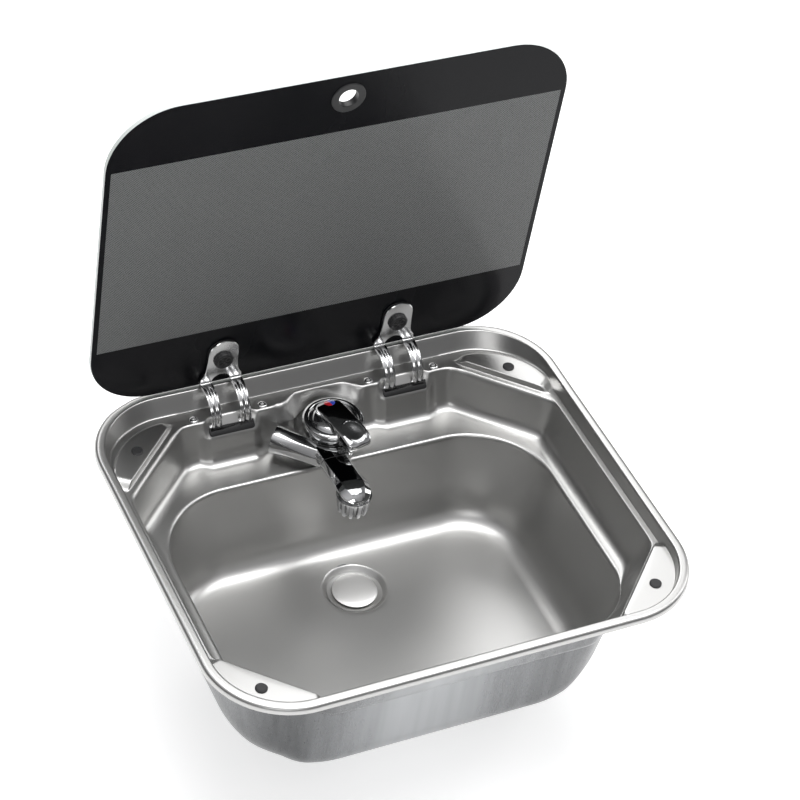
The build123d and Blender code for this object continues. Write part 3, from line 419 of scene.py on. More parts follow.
def inset(outline, by):
    """Outline pulled in by a small distance, whichever way it runs."""
    before, after = np.roll(outline, 1, axis=0), np.roll(outline, -1, axis=0)
    along = after - before
    length = np.maximum(np.hypot(along[:, 0], along[:, 1]), 1e-9)
    inward = np.column_stack([-along[:, 1], along[:, 0]]) / length[:, None]
    area = np.sum(outline[:, 0] * after[:, 1] - after[:, 0] * outline[:, 1])
    return outline + inward * by * np.sign(area)


def smooth01(t):
    """Soft step from 0 to 1."""
    t = np.clip(t, 0, 1)
    return t * t * (3 - 2 * t)


def track(x, knots):
    """Smooth curve through (x, value) knots, its slope at each taken from the neighbours."""
    xs, ys = np.array(sorted(knots)).T
    slopes = np.gradient(ys, xs)
    i = int(np.clip(np.searchsorted(xs, x) - 1, 0, len(xs) - 2))
    h = xs[i + 1] - xs[i]
    t = np.clip((x - xs[i]) / h, 0, 1)
    a, b = (1 + 2 * t) * (1 - t) ** 2, t * t * (3 - 2 * t)
    lean_a, lean_b = t * (1 - t) ** 2 * h * slopes[i], t * t * (1 - t) * h * slopes[i + 1]
    return a * ys[i] + b * ys[i + 1] + lean_a - lean_b


# ---------------------------------------------------------------- pressed sink
MOUTH = dict(half=172.0, front=-141.2, back=102.8, r_front=57.0, r_back=70.0)


def base_ring():
    """Mouth of the bowl: points and outward normals, counted round from the right."""
    half, front, back = MOUTH["half"], MOUTH["front"], MOUTH["back"]
    rf, rb = MOUTH["r_front"], MOUTH["r_back"]
    points, normals = [], []

    def arc(cx, cy, r, start, count):
        for a in np.linspace(start, start + math.pi / 2, count, endpoint=False):
            points.append((cx + r * math.cos(a), cy + r * math.sin(a)))
            normals.append((math.cos(a), math.sin(a)))

    def run(a, b, count, normal):
        for t in np.linspace(0, 1, count, endpoint=False):
            points.append((a[0] + (b[0] - a[0]) * t, a[1] + (b[1] - a[1]) * t))
            normals.append(normal)

    run((half, front + rf), (half, back - rb), 90, (1, 0))
    arc(half - rb, back - rb, rb, 0, 150)
    run((half - rb, back), (rb - half, back), 400, (0, 1))
    arc(rb - half, back - rb, rb, math.pi / 2, 150)
    run((-half, back - rb), (-half, front + rf), 90, (-1, 0))
    arc(rf - half, front + rf, rf, math.pi, 150)
    run((rf - half, front), (half - rf, front), 160, (0, -1))
    arc(half - rf, front + rf, rf, 1.5 * math.pi, 150)
    return np.array(points), np.array(normals)


def rounded_box(x, y, half, front, back, r):
    """Signed distance to a rounded box in plan, negative inside."""
    cx, cy = np.abs(x) - (half - r), np.abs(y - (front + back) / 2) - ((back - front) / 2 - r)
    outside = np.hypot(np.maximum(cx, 0), np.maximum(cy, 0))
    return outside + np.minimum(np.maximum(cx, cy), 0) - r


def soft_max(parts, k=2.2):
    """Greatest of several values, blended over a width of about k where two are alike."""
    top = np.max(parts, axis=0)
    return top + k * np.log(sum(np.exp((p - top) / k) for p in parts))


def window(x, centre, half, soft):
    """1 within half of the centre, on both sides of the sink, fading over a width of soft."""
    return smooth01((half + soft / 2 - np.abs(np.abs(x) - centre)) / soft)


def back_edge(x, base, boss, boss_half, pocket_r, soft, blend):
    """Back line of an opening, stepped at the hinge bosses and bowed out round the tap."""
    y = base + (boss - base) * window(x, HINGE_X, boss_half, soft)
    bow = TAP_Y + np.sqrt(np.maximum(pocket_r**2 - (x - TAP_X) ** 2, 0.0))
    return soft_max([y, bow], blend)


def corner_cuts(x, y, sum_front, sum_back):
    """Distances past the slanted lines that cut the back and the front corners."""
    return [(np.abs(x) + y - sum_back) / ROOT_2, (np.abs(x) - y - sum_front) / ROOT_2]


def opening(back_line, half, front, sum_front, sum_back):
    """Shape of an eight-sided opening with the given back line."""
    return lambda x, y: soft_max([np.abs(x) - half, front - y, y - back_edge(x, *back_line),
                                  *corner_cuts(x, y, sum_front, sum_back)])


def reach(points, normals, shape):
    """How far each ray goes before it leaves a shape, found by halving."""
    low, high = np.full(len(points), -5.0), np.full(len(points), 90.0)
    for _ in range(40):
        mid = (low + high) / 2
        at = points + normals * mid[:, None]
        inside = shape(at[:, 0], at[:, 1]) < 0
        low, high = np.where(inside, mid, low), np.where(inside, high, mid)
    return (low + high) / 2


def sink_section(points, normals):
    """Corners of the pressing along each ray, from the flat floor out to the rim's edge.

    Each is its distance and height, its radius (or one before and one after the corner), and
    the share of the run before and after it that the rounding may take.
    """
    x, across, onward = points[:, 0], normals[:, 0], normals[:, 1]
    level = lambda v: np.full(len(points), float(v))
    at = lambda shape: reach(points, normals, shape)
    box = lambda sizes: at(lambda x, y: rounded_box(x, y, *sizes))

    # Parts of the back wall: behind the ledge, at a hinge boss or its bracket, behind the tap.
    behind = (onward > 0.9).astype(float)
    back = smooth01((onward - 0.3) / 0.5)
    boss = window(x, HINGE_X, 23.0, 9.0) * behind
    bracket = window(x, HINGE_X, 41.0, 6.0) * behind
    off_tap = np.abs(x - TAP_X)
    scoop = smooth01((44.0 - off_tap) / 12.0) * behind
    hollow = smooth01((39.5 - off_tap) / 20.0) * behind

    # Slope from the ledge up to the recess: bent at a boss, set back behind the tap.
    foot = np.maximum(0.9, at(opening(LEDGE_LINE, *LEDGE_CORNERS)))
    top = at(opening(RECESS_LINE, *RECESS_CORNERS))
    plain = at(opening(PLAIN_LINE, *RECESS_CORNERS))
    mid = (foot + 0.62 * (plain - foot)) * (1 - boss) + (BOSS_BEND_Y - MOUTH["back"]) * boss
    mid_z = (LEDGE_Z + 0.62 * (RECESS_Z - LEDGE_Z)) * (1 - boss) + BOSS_BEND_Z * boss
    mid = mid * (1 - scoop) + (foot + 0.5 * (plain - foot)) * scoop
    top = np.maximum(top, top * (1 - hollow) + (HOLLOW_Y - MOUTH["back"]) * hollow)

    # Raised corner pads between the recess and the foot of the rim's wall.
    wall_foot, rim_in, rim_out = box(WALL_FOOT), box(RIM_INNER), box(RIM_OUTER)
    pad_in = at(lambda x, y: soft_max(corner_cuts(x, y, PAD_FRONT_SUM, PAD_BACK_SUM), 0.5))
    pad_in = np.maximum(np.minimum(pad_in, wall_foot - 3.4), top + 0.7)
    groove = np.minimum(box(PAD_LIMIT), wall_foot - 1.6)
    pad_out = np.minimum(np.maximum(groove, pad_in + 1.6), wall_foot - 1.7)
    lift = smooth01((groove - pad_in - 2.0) / 8.0)
    side_end = points[:, 1] + onward * groove - BACK_PAD_FROM
    lift = np.where(onward > 0, lift * smooth01(side_end / 15.0), lift)
    drop = smooth01((wall_foot - groove - 2.0) / 8.0)
    z_pad = RECESS_Z + (PAD_Z - RECESS_Z) * lift
    z_far = z_pad + (RECESS_Z - z_pad) * drop

    # Rounding: broad along the back away from brackets and tap, tighter under the front wall.
    soft = back * (1 - bracket) * (1 - hollow)
    turned = np.where(onward < 0, np.abs(2 * across * onward), 0)
    ahead = smooth01(-onward) * (1 - turned**2)
    floor_shape = lambda x, y: np.where(y < FLOOR_SPLIT, rounded_box(x, y, *FLOOR_FRONT),
                                        rounded_box(x, y, *FLOOR_BACK))
    floor_edge = reach(points - 40 * normals, normals, floor_shape) - 40
    return [
        (floor_edge - 28, level(FLOOR_Z)),
        (floor_edge, level(FLOOR_Z), 26.0, 43.0 - 17.0 * ahead, 0.9 - 0.43 * ahead, 0.47),
        (level(0), level(LEDGE_Z), 4.0, 4.0, 0.3, 0.24),
        (foot, level(LEDGE_Z), 12.0, 12.0, 0.72, 0.47),
        (mid, mid_z, 7.0),
        (top, level(RECESS_Z), 3.6 + 5.0 * soft, 3.4 + 2.0 * soft, 0.47, 0.47),
        (pad_in, level(RECESS_Z), 1.4),
        (pad_in + 1.2, z_pad, 1.4),
        (pad_out, z_pad, 1.2),
        (pad_out + 1.2, z_far, 1.2),
        (np.maximum(wall_foot, pad_out + 1.6), z_far, 2.6),
        (rim_in, level(RIM_TOP), 2.0),
        (rim_out, level(RIM_TOP), 4.6, 5.4, 0.47, 0.85),
        (rim_out, level(0.0)),
    ]


# Samples of each rounding and each run of the section, in the order of its corners.
ARC_STEPS = [0, 16, 9, 10, 8, 9, 5, 5, 5, 5, 6, 7, 8, 0]
RUN_STEPS = [4, 22, 8, 5, 6, 4, 2, 4, 2, 2, 5, 4, 4]
LEAST_CUT = 0.4


def filleted(section):
    """Samples the corners of every ray, each one rounded to its radius."""
    d = np.array([s[0] for s in section])
    z = np.array([s[1] for s in section])
    rows, last = [], len(section) - 1
    start = (d[0], z[0])
    for i in range(1, last + 1):
        end = (d[i], z[i])
        if i < last:
            ax, az = d[i - 1] - d[i], z[i - 1] - z[i]
            bx, bz = d[i + 1] - d[i], z[i + 1] - z[i]
            la, lb = np.hypot(ax, az) + 1e-9, np.hypot(bx, bz) + 1e-9
            half = np.arccos(np.clip((ax * bx + az * bz) / (la * lb), -1, 1)) / 2
            r_a, r_b, share_a, share_b = (section[i][2:] if len(section[i]) > 3
                                          else (section[i][2], section[i][2], 0.47, 0.47))
            spread = 1 / np.maximum(np.tan(half), 1e-3)
            cut_a = np.minimum(np.maximum(r_a * spread, LEAST_CUT), la * share_a)
            cut_b = np.minimum(np.maximum(r_b * spread, LEAST_CUT), lb * share_b)
            end = (d[i] + ax / la * cut_a, z[i] + az / la * cut_a)
            after = (d[i] + bx / lb * cut_b, z[i] + bz / lb * cut_b)
        for f in np.arange(RUN_STEPS[i - 1]) / RUN_STEPS[i - 1]:
            rows.append(tuple(s + (e - s) * f for s, e in zip(start, end)))
        if i == last:
            rows.append(end)
            break
        for f in np.arange(ARC_STEPS[i]) / ARC_STEPS[i]:
            a, b, c = (1 - f) ** 2, 2 * f * (1 - f), f * f
            rows.append(tuple(a * s + b * k + c * e for s, k, e in zip(end, (d[i], z[i]), after)))
        start = after
    return rows


def well_rings(first):
    """Rings from the drain hole out over the well's lip and the flat floor to the first ring."""
    turn = np.arctan2(first[:, 1] - DRAIN_Y, first[:, 0])
    well = [(20.3, 0), (21.5, 0), (22.6, 0.3), (24.2, 1.3), (26.3, 3.0), (27.5, 4.2), (28.3, 4.75),
            (29.0, 4.97)]
    rings = [circle(r, WELL_Z + up, turn, (0, DRAIN_Y)) for r, up in well]
    start, steps = rings[-1], 34
    for f in np.arange(1, steps) / steps:
        ring = start + (first - start) * f
        ring[:, 2] = FLOOR_Z
        rings.append(ring)
    return rings


def cut_away(face):
    """True for a face of the sheet where the tap hole or an arm slot is."""
    c = face.calc_center_median() / MM
    if math.hypot(c.x - TAP_X, c.y - TAP_Y) < TAP_HOLE_R and abs(c.z - LEDGE_Z) < 1:
        return True
    across = abs(abs(c.x) - HINGE_X)
    along = ((c.y - SLOPE_Y) + (c.z - SLOPE_Z)) / ROOT_2
    off = ((c.z - SLOPE_Z) - (c.y - SLOPE_Y)) / ROOT_2
    return ARM_IN - 0.8 < across < ARM_OUT + 0.8 and -3.4 < along < 3.8 and abs(off) < 2


def hollow_rivets(points, rows):
    """Rolled heads of the four rivets that hold the hinge brackets, seated on the deck's curve."""
    profile = [(0.02, -3.4), (2.9, -3.4), (3.1, -SHEET), (3.1, -0.2), (3.9, -0.1), (3.9, 0.35),
               (3.4, 1.0), (2.5, 1.3), (1.7, 1.15), (1.3, 0.6), (1.2, -0.4), (0.02, -0.5)]
    build = Build()
    back, straight = MOUTH["back"], MOUTH["half"] - MOUTH["r_back"]
    for x in [side * HINGE_X + off for side in (-1, 1) for off in (-RIVET_OFF, RIVET_OFF)]:
        # The ray of the back run nearest to the rivet; the outer rivets take the last one.
        near = np.clip(x, -straight, straight)
        ray = int(np.argmin(np.hypot(points[:, 0] - near, points[:, 1] - back)))
        line = np.array([(back + dist[ray], z[ray]) for dist, z in rows if dist[ray] > 40])
        height = lambda y: np.interp(y, line[:, 0], line[:, 1])
        z, rise = height(RIVET_Y), height(RIVET_Y + 2.5) - height(RIVET_Y - 2.5)
        tilt = math.atan2(rise, 5.0)
        c, s = math.cos(tilt), math.sin(tilt)
        head = Build().lathe(profile, steps=48)
        build.add(head.moved(lambda r: np.column_stack([
            r[:, 0] + x, RIVET_Y + r[:, 1] * c - r[:, 2] * s, z + r[:, 1] * s + r[:, 2] * c])))
    rivets = build.make("hollow_rivets", HINGE_CHROME, 35.0)
    finish(rivets, "sink", "steel", "hinge_rivets")


def pressed_sink():
    """The sheet's upper face as one skin, given its thickness downwards."""
    points, normals = base_ring()
    rows = filleted(sink_section(points, normals))
    hollow_rivets(points, rows)
    rings = [np.column_stack([points + normals * dist[:, None], z]) for dist, z in rows]
    rings = well_rings(rings[0]) + rings
    faces = ring_faces(len(rings), len(points))
    o = mesh_object("pressed_sink", np.vstack(rings), faces, SHEET_STEEL, None)
    bm = bmesh.new()
    bm.from_mesh(o.data)
    bmesh.ops.delete(bm, geom=[f for f in bm.faces if cut_away(f)], context="FACES")
    spot = Vector((0.1, 0, FLOOR_Z * MM))
    floor = min(bm.faces, key=lambda f: (f.calc_center_median() - spot).length)
    if floor.normal.z < 0:
        bmesh.ops.reverse_faces(bm, faces=bm.faces)
    bm.to_mesh(o.data)
    bm.free()
    # The outer face takes the outer steel: painted shade, with painted reflection bands.
    o.data.materials.append(BACK_STEEL)
    gauge = o.modifiers.new("gauge", "SOLIDIFY")
    gauge.thickness = SHEET * MM
    gauge.offset = -1
    gauge.material_offset = 1
    finish(o, "sink", "satin_steel", "sink_bowl")


pressed_sink()


# ---------------------------------------------------------------- hinges
def open_lid(point):
    """From the frame of the closed lid, about the pin, to the open pose at one hinge."""
    x, y, z = np.asarray(point, dtype=float).T
    c, s = math.cos(LID_OPEN), math.sin(LID_OPEN)
    return np.column_stack([x, y * c + z * s + PIVOT_Y, z * c - y * s + PIVOT_Z])


def arm_path():
    """Centre line of one arm in the closed frame: off the tab, round the bend, down the arc."""
    on_arc = lambda angle: ARM_R * np.array([math.cos(angle), math.sin(angle)])
    bend, landing, end = [math.radians(a) for a in (157.8, 171.0, 283.6)]
    corner, onto = on_arc(bend), on_arc(landing)
    run_in = corner + (-4.0, 0)
    path = [(1 - f) ** 2 * run_in + 2 * f * (1 - f) * corner + f * f * onto
            for f in np.linspace(0, 1, 9)[:-1]]
    return np.array(path + [on_arc(a) for a in np.linspace(landing, end, 44)])


def ribbed_arm(build, side):
    """Strip with two rolled ribs along its outer face; widest at the shoulder."""
    path = arm_path()
    step = np.gradient(path, axis=0)
    step /= np.hypot(step[:, 0], step[:, 1])[:, None]
    normal = np.column_stack([step[:, 1], -step[:, 0]])
    length = np.concatenate([[0], np.cumsum(np.hypot(*np.diff(path, axis=0).T))])
    rings = []
    for p, n, s in zip(path, normal, length):
        flare = 1 - smooth01(s / 18)
        inner, outer = ARM_IN - 0.2 * flare, ARM_OUT + 0.9 * flare
        rise = smooth01((s - 4.5) / 8)
        u = np.linspace(0, 1, 25)
        ribs = 0.42 * rise * np.cos(4 * math.pi * (u - 0.25)) * smooth01(np.minimum(u, 1 - u) * 9)
        face = 0.85 + 0.25 * rise + 0.35 * smooth01(np.minimum(u, 1 - u) * 12) + ribs
        x = inner + (outer - inner) * u
        heights = np.concatenate([face, [-1.0, -1.4, -1.4, -1.0]])
        places = np.concatenate([x, [outer, outer - 0.5, inner + 0.5, inner]])
        rings.append(np.column_stack([side * places, p[0] + n[0] * heights, p[1] + n[1] * heights]))
    build.loft(rings)


def upright(flat, x):
    """Ring of (y, z) points at one place across the hinge."""
    return np.column_stack([np.full(len(flat), x), flat])


def hinge_leaf(side, name):
    """Tab under the glass, two ribbed arms, and the webs and tubes that turn on the pin."""
    build = Build()
    root = -ARM_R * math.cos(math.asin(TAB_Z / ARM_R)) - 1.0
    tip_r = 13.4
    tip = [(tip_r * math.cos(a), TAB_TIP + tip_r + tip_r * math.sin(a))
           for a in np.linspace(-math.pi, 0, 25)]
    right = [(tip_r + 0.3, root - 26), (tip_r + 0.8, root - 19), (tip_r + 1.4, root - 13.5),
             (15.8, root - 10), (17.3, root - 7.6), (18.4, root - 5.6), (18.7, root - 3.8),
             (18.4, root - 1.7)]
    arch = [(ARM_IN * math.cos(a), root - 0.3 - ARM_IN * math.sin(a))
            for a in np.linspace(0.17, math.pi - 0.17, 25)]
    left = [(-x, y) for x, y in reversed(right)]
    build.plate(tip + right + arch + left, TAB_Z - TAB_HALF, TAB_Z + TAB_HALF, 0.5)
    web = rounded([(3.0, -0.5), (3.4, 2.0), (0.5, 3.7), (-3.2, 2.2), (-4.0, -1.0), (-0.5, -4.5),
                   (1.2, -21.6), (5.6, -21.6)], 1.0, 3)
    turn = full_turn(40)
    lip = np.column_stack([np.cos(turn), np.sin(turn)])
    tube = [(3.75, ARM_IN), (3.75, 19.4), (2.1, 19.4), (2.1, ARM_IN), (3.75, ARM_IN)]
    for hand in (-1, 1):
        ribbed_arm(build, hand)
        build.loft([upright(web, hand * x) for x in (ARM_IN + 0.1, ARM_OUT - 0.1)])
        build.loft([upright(r * lip, hand * x) for r, x in tube], caps=False)
    build.moved(lambda ring: open_lid(ring) + (side * HINGE_X, 0, 0))
    leaf = build.make("hinge_leaf_" + name, HINGE_CHROME, 35.0)
    finish(leaf, "lid", "chrome", "hinge_arm_" + name)


def thumb_nut(side, name):
    """Low black moulded nut on the tab: scalloped rim, dished face with a six-point star."""
    turn = full_turn(144)
    scallop = -0.035 * smooth01(np.cos(12 * turn))
    star = 0.5 + 0.5 * np.cos(6 * turn)
    low = TAB_Z - TAB_HALF
    rim = [(8.3, 0.0, 1.0), (8.6, -0.7, 1.0), (8.5, -2.2, 1.0), (7.7, -3.2, 0.7), (6.7, -3.55, 0.2),
           (6.0, -3.3, 0.0)]
    dish = [(5.0, -2.1, 0.1), (4.0, -1.8, 0.7), (2.9, -1.9, 1.0), (1.8, -2.5, 0.2),
            (0.9, -2.8, 0.0), (0.02, -2.9, 0.0)]
    rings = [circle(r * (1 + scallop * wave), low + z, turn) for r, z, wave in rim]
    rings += [circle(r, low + z - lift * star, turn) for r, z, lift in dish]
    build = Build().loft(rings)
    build.moved(lambda ring: open_lid(ring + (0, TAB_SCREW, 0)) + (side * HINGE_X, 0, 0))
    nut = build.make("thumb_nut_" + name, BLACK, 50.0)
    finish(nut, "lid", "black_plastic", "lid_knob_" + name)


def slot_frame(side, name):
    """Black bar in front of the slots with soft top edges, notched for the arms."""
    half, front, back, thick = 20.5, -7.3, 0.8, 1.8
    outer, inner, deep = ARM_OUT + 0.6, ARM_IN - 0.6, -2.1
    notch = [(outer, back), (outer, deep), (inner, deep), (inner, back)]
    corners = [(half, front), (half, back)] + notch + [(-x, y) for x, y in reversed(notch)]
    corners += [(-half, back), (-half, front)]
    outline = rounded(corners, [3.0, 1.0] + [0.3] * 8 + [1.0, 3.0], 5)
    rows = [(0.0, 0.0), (0.0, thick - 0.7), (0.25, thick - 0.2), (0.7, thick)]
    build = Build().loft([level_ring(inset(outline, pull), z) for pull, z in rows])
    # Laid on the slope, which rises at 45 degrees.
    c = math.sqrt(0.5)
    build.moved(lambda r: np.column_stack([
        r[:, 0] + side * HINGE_X, SLOPE_Y + (r[:, 1] - r[:, 2]) * c,
        SLOPE_Z + (r[:, 1] + r[:, 2]) * c]))
    bar = build.make("slot_frame_" + name, BLACK, 35.0)
    finish(bar, "sink", "black_plastic", "slot_cover_" + name)


for hand, label in ((1, "right"), (-1, "left")):
    hinge_leaf(hand, label)
    thumb_nut(hand, label)
    slot_frame(hand, label)


# ---------------------------------------------------------------- tap
# The spout's own frame: x across it, y back along it (so v falls towards its nose), z up.
SPOUT_YAW = math.radians(-0.9)
SPOUT_ROOT = (TAP_X - 15.1, TAP_Y - 28.0)
NOZZLE_V, NOZZLE_TOP, NOZZLE_END, NOZZLE_R = -55.0, -20.2, -37.6, 15.0
SEAM_V = (-12.5, -11.9)
SHANK_R, SHANK_END = 16.0, -92.0
# The lever's own frame: about the tap's axis, v falls towards the thumb piece.
CAP_R, CAP_TOP, CAP_SKIRT, DOME_R, TILT_Z, TAP_TOP_Z = 26.8, -9.5, -17.5, 26.5, -37.5, -23.5
CROWN = CAP_TOP + 7.0
TAP_AXIS = (TAP_X, TAP_Y)
ARM_MOUTH, ARM_ROOT = np.array([-47.0, 131.5, -27.6]), np.array([-12.0, 98.0, -29.8])


def turned_about(ring, yaw, origin):
    c, s = math.cos(yaw), math.sin(yaw)
    x, y, z = ring.T
    return np.column_stack([x * c - y * s + origin[0], x * s + y * c + origin[1], z])


# Along the spout: heights of its top and belly, half width, half width of its top face.
SPOUT_TOP = [(20, -20.4), (0, -18.5), (-18, -16.2), (-38, -12.9), (-52, -10.9), (-60, -11.8),
             (-64, -13.6), (-69, -18.8)]
SPOUT_LOW = [(20, -33.0), (0, -32.6), (-18, -30.0), (-34, -24.6), (-42, -21.2), (-48, -20.0),
             (-69, -20.0)]
SPOUT_HALF = [(20, 11.8), (0, 12.8), (-18, 12.9), (-38, 13.6), (-55, 14.2), (-62, 12.6), (-69, 6.0)]
SPOUT_FACE = [(20, 9.0), (0, 10.0), (-38, 9.2), (-55, 8.5), (-69, 3.6)]


def spout_section(v, grow=0.0):
    """Cross-section of the spout: crowned top with sloped shoulders, round belly."""
    top, low, half, face = [track(v, knots)
                            for knots in (SPOUT_TOP, SPOUT_LOW, SPOUT_HALF, SPOUT_FACE)]
    if v < NOZZLE_V:
        half = 14.2 * math.sqrt(max(1 - ((v - NOZZLE_V) / 14.3) ** 2, 0.04))
        face = min(face, half * 0.62)
    half, face, top, low = half + grow, face + grow, top + grow, low - grow
    drop = min(5.2, 0.55 * (top - low))
    flank = low + 0.4 * (top - low - drop)
    points = [(half, top - drop), (face, top - 0.5), (face * 0.5, top + 0.1), (0, top + 0.3),
              (-face * 0.5, top + 0.1), (-face, top - 0.5), (-half, top - drop),
              (-half + 0.8, flank), (-half * 0.55, low), (half * 0.55, low), (half - 0.8, flank)]
    ring = rounded(points, [2.4, 1.6, 5.0, 5.0, 5.0, 1.6, 2.4, 3.0, 3.0, 3.0, 3.0], 5)
    return np.column_stack([ring[:, 0], np.full(len(ring), v), ring[:, 1]])


def place_spout(ring):
    return turned_about(ring, SPOUT_YAW, SPOUT_ROOT)


def side_arm():
    """Trumpet on the left of the body: round at its mouth, softly faceted at its root."""
    axis = ARM_ROOT - ARM_MOUTH
    length = np.linalg.norm(axis)
    axis = axis / length
    across = np.cross(axis, (0, 0, 1))
    across /= np.linalg.norm(across)
    up = np.cross(across, axis)
    corners = np.array([(math.cos(a), math.sin(a))
                        for a in np.radians([20, 62, 118, 160, 200, 242, 298, 340])])
    # Place along the arm, radius, and how far the section has gone from round to faceted.
    stations = [(2.2, 10.2, 0.0), (0.0, 10.4, 0.0), (0.0, 11.8, 0.0), (0.6, 12.5, 0.0),
                (2.4, 12.7, 0.0), (5.0, 12.5, 0.1), (9.0, 12.1, 0.25), (14.0, 11.6, 0.45),
                (20.0, 11.2, 0.7), (28.0, 10.9, 0.9), (38.0, 10.8, 1.0), (length + 3.0, 10.6, 1.0)]
    rings = []
    for s, r, square in stations:
        flat = corners * r * (1.02 + 0.04 * (1 - square))
        flat = rounded(flat, r * (0.9 - 0.72 * square), 6)
        turn = np.arctan2(flat[:, 1], flat[:, 0])
        circle = np.column_stack([np.cos(turn), np.sin(turn)]) * r
        flat = circle * (1 - square) + flat * square
        at = ARM_MOUTH + axis * s
        rings.append(at + flat[:, :1] * across + flat[:, 1:] * up)
    return rings


def tap_shell():
    """Shank, foot and hub in one turned skin, with the spout, the hump under it and the arm."""
    build = Build()
    base = LEDGE_Z + 1.2
    build.lathe([(0.5, SHANK_END), (SHANK_R - 0.8, SHANK_END), (SHANK_R, SHANK_END + 0.8),
                 (SHANK_R, base), (21.2, base), (21.2, base + 2.0), (20.6, base + 2.8),
                 (19.6, base + 3.6), (19.3, base + 5.5), (19.8, base + 9.5),
                 (21.4, TAP_TOP_Z - 6.0), (22.3, TAP_TOP_Z - 3.0), (22.3, TAP_TOP_Z - 0.5),
                 (21.8, TAP_TOP_Z), (14.0, TAP_TOP_Z)], TAP_AXIS, 128)
    stations = np.concatenate([np.linspace(16, -52, 24), np.linspace(-53.5, -69.0, 18)])
    build.loft([place_spout(spout_section(v)) for v in stations])
    # Soft hump that joins spout, arm and hub under the lever.
    plan = rounded([(-16, -6), (-3, -14), (9, -12), (13, 6), (6, 14), (-10, 12)], 7.0, 6)
    centre = plan.mean(axis=0)
    away = plan - centre
    spread = np.hypot(*away.T).mean()
    swell = [(-36.0, 0.0), (-34.0, 1.5), (-27.0, 1.9), (-23.0, 1.0), (-21.0, -1.2), (-20.2, -4.5),
             (-19.9, -8.0)]
    build.loft([level_ring(centre + away * (1 + grow / spread) + (TAP_X - 8.0, TAP_Y - 24.0), z)
                for z, grow in swell])
    finish(build.make("tap_shell", TAP_CHROME, 32.0), "sink", "chrome", "tap_body")
    arm = Build().loft(side_arm()).make("tap_side_arm", SOFT_CHROME, 32.0)
    finish(arm, "sink", "chrome")


def swivel_seam():
    """Thin dark ring where the spout turns on the body."""
    rings = [place_spout(spout_section(v, grow))
             for v, grow in zip(np.repeat(SEAM_V, 2), (-0.4, 0.04, 0.04, -0.4))]
    seam = Build().loft(rings).make("swivel_seam", BLACK, 40.0)
    finish(seam, "sink", "black_plastic", "spout_ring")


def fluted_nozzle():
    """Tapered aerator housing with twelve flutes in its grip, and the dark insert in its mouth."""
    turn = full_turn(320)
    flute = 1 - smooth01(0.5 + 1.2 * np.cos(12 * turn))
    # Radius less the nozzle's, height, depth of the flutes and how far they bite into the end.
    head = [(-1.4, 3.0, 0, 0), (-1.4, 0.3, 0, 0), (0.0, 0.2, 0, 0), (0.2, -0.6, 0, 0),
            (-0.1, -1.6, 0.1, 0), (-0.4, -2.6, 1.3, 0), (-1.0, -8.0, 2.2, 0)]
    end = [(-1.8, 1.4, 2.2, 0.6), (-2.4, 0.0, 1.4, 1.2), (-3.8, 0.0, 0, 1.1), (-4.1, 3.0, 0, 0)]
    rings = [circle(NOZZLE_R + r - cut * flute, base + z + bite * flute, turn, (0, NOZZLE_V))
             for base, rows in ((NOZZLE_TOP, head), (NOZZLE_END, end)) for r, z, cut, bite in rows]
    nozzle = Build().loft([place_spout(ring) for ring in rings])
    finish(nozzle.make("aerator_grip", GRIP_CHROME, 30.0), "sink", "chrome", "nozzle")
    # Two grooves in the insert's face, which lies up inside the mouth.
    profile = [(NOZZLE_R - 4.0, 1.8), (NOZZLE_R - 4.0, 3.4), (8.4, 3.4), (7.9, 2.6), (6.6, 2.6),
               (6.2, 3.4), (5.2, 3.4), (4.8, 2.6), (3.4, 2.6), (3.0, 3.4), (0.05, 3.4)]
    rings = [circle(r, NOZZLE_END + z, turn, (0, NOZZLE_V)) for r, z in profile]
    insert = Build().loft([place_spout(ring) for ring in rings])
    finish(insert.make("aerator_insert", BLACK, 30.0), "sink", "black_plastic", "nozzle_insert")


HOOD_CROWN = [(LEVER_TAIL, CROWN - 4.0), (11.0, CROWN - 1.0), (3.0, CROWN), (-10.0, CROWN - 0.1),
              (-21.0, CROWN - 0.8), (-30.0, CROWN - 2.2), (-37.0, CROWN - 4.6),
              (-LEVER_REACH, CROWN - 7.6)]
HOOD_EDGE = [(LEVER_TAIL, CROWN - 10.0), (-14.0, CROWN - 11.5), (-26.0, CROWN - 10.4),
             (-LEVER_REACH, CROWN - 11.4)]


def lever_surface(u, v):
    """Height of the hood above its plan point, with the thumb dish let into it."""
    top = track(v, HOOD_CROWN)
    top -= 0.8 * (u / LEVER_HALF) ** 2
    near = math.hypot(u / 9.4, (v + 28.4) / 10.8)
    if near < 1:
        top -= 0.62 * (1 + math.cos(math.pi * near)) + 0.3 * (1 - near)
    elif near < 1.1:
        top += 0.25 * math.sin(math.pi * (near - 1) / 0.1)
    return top


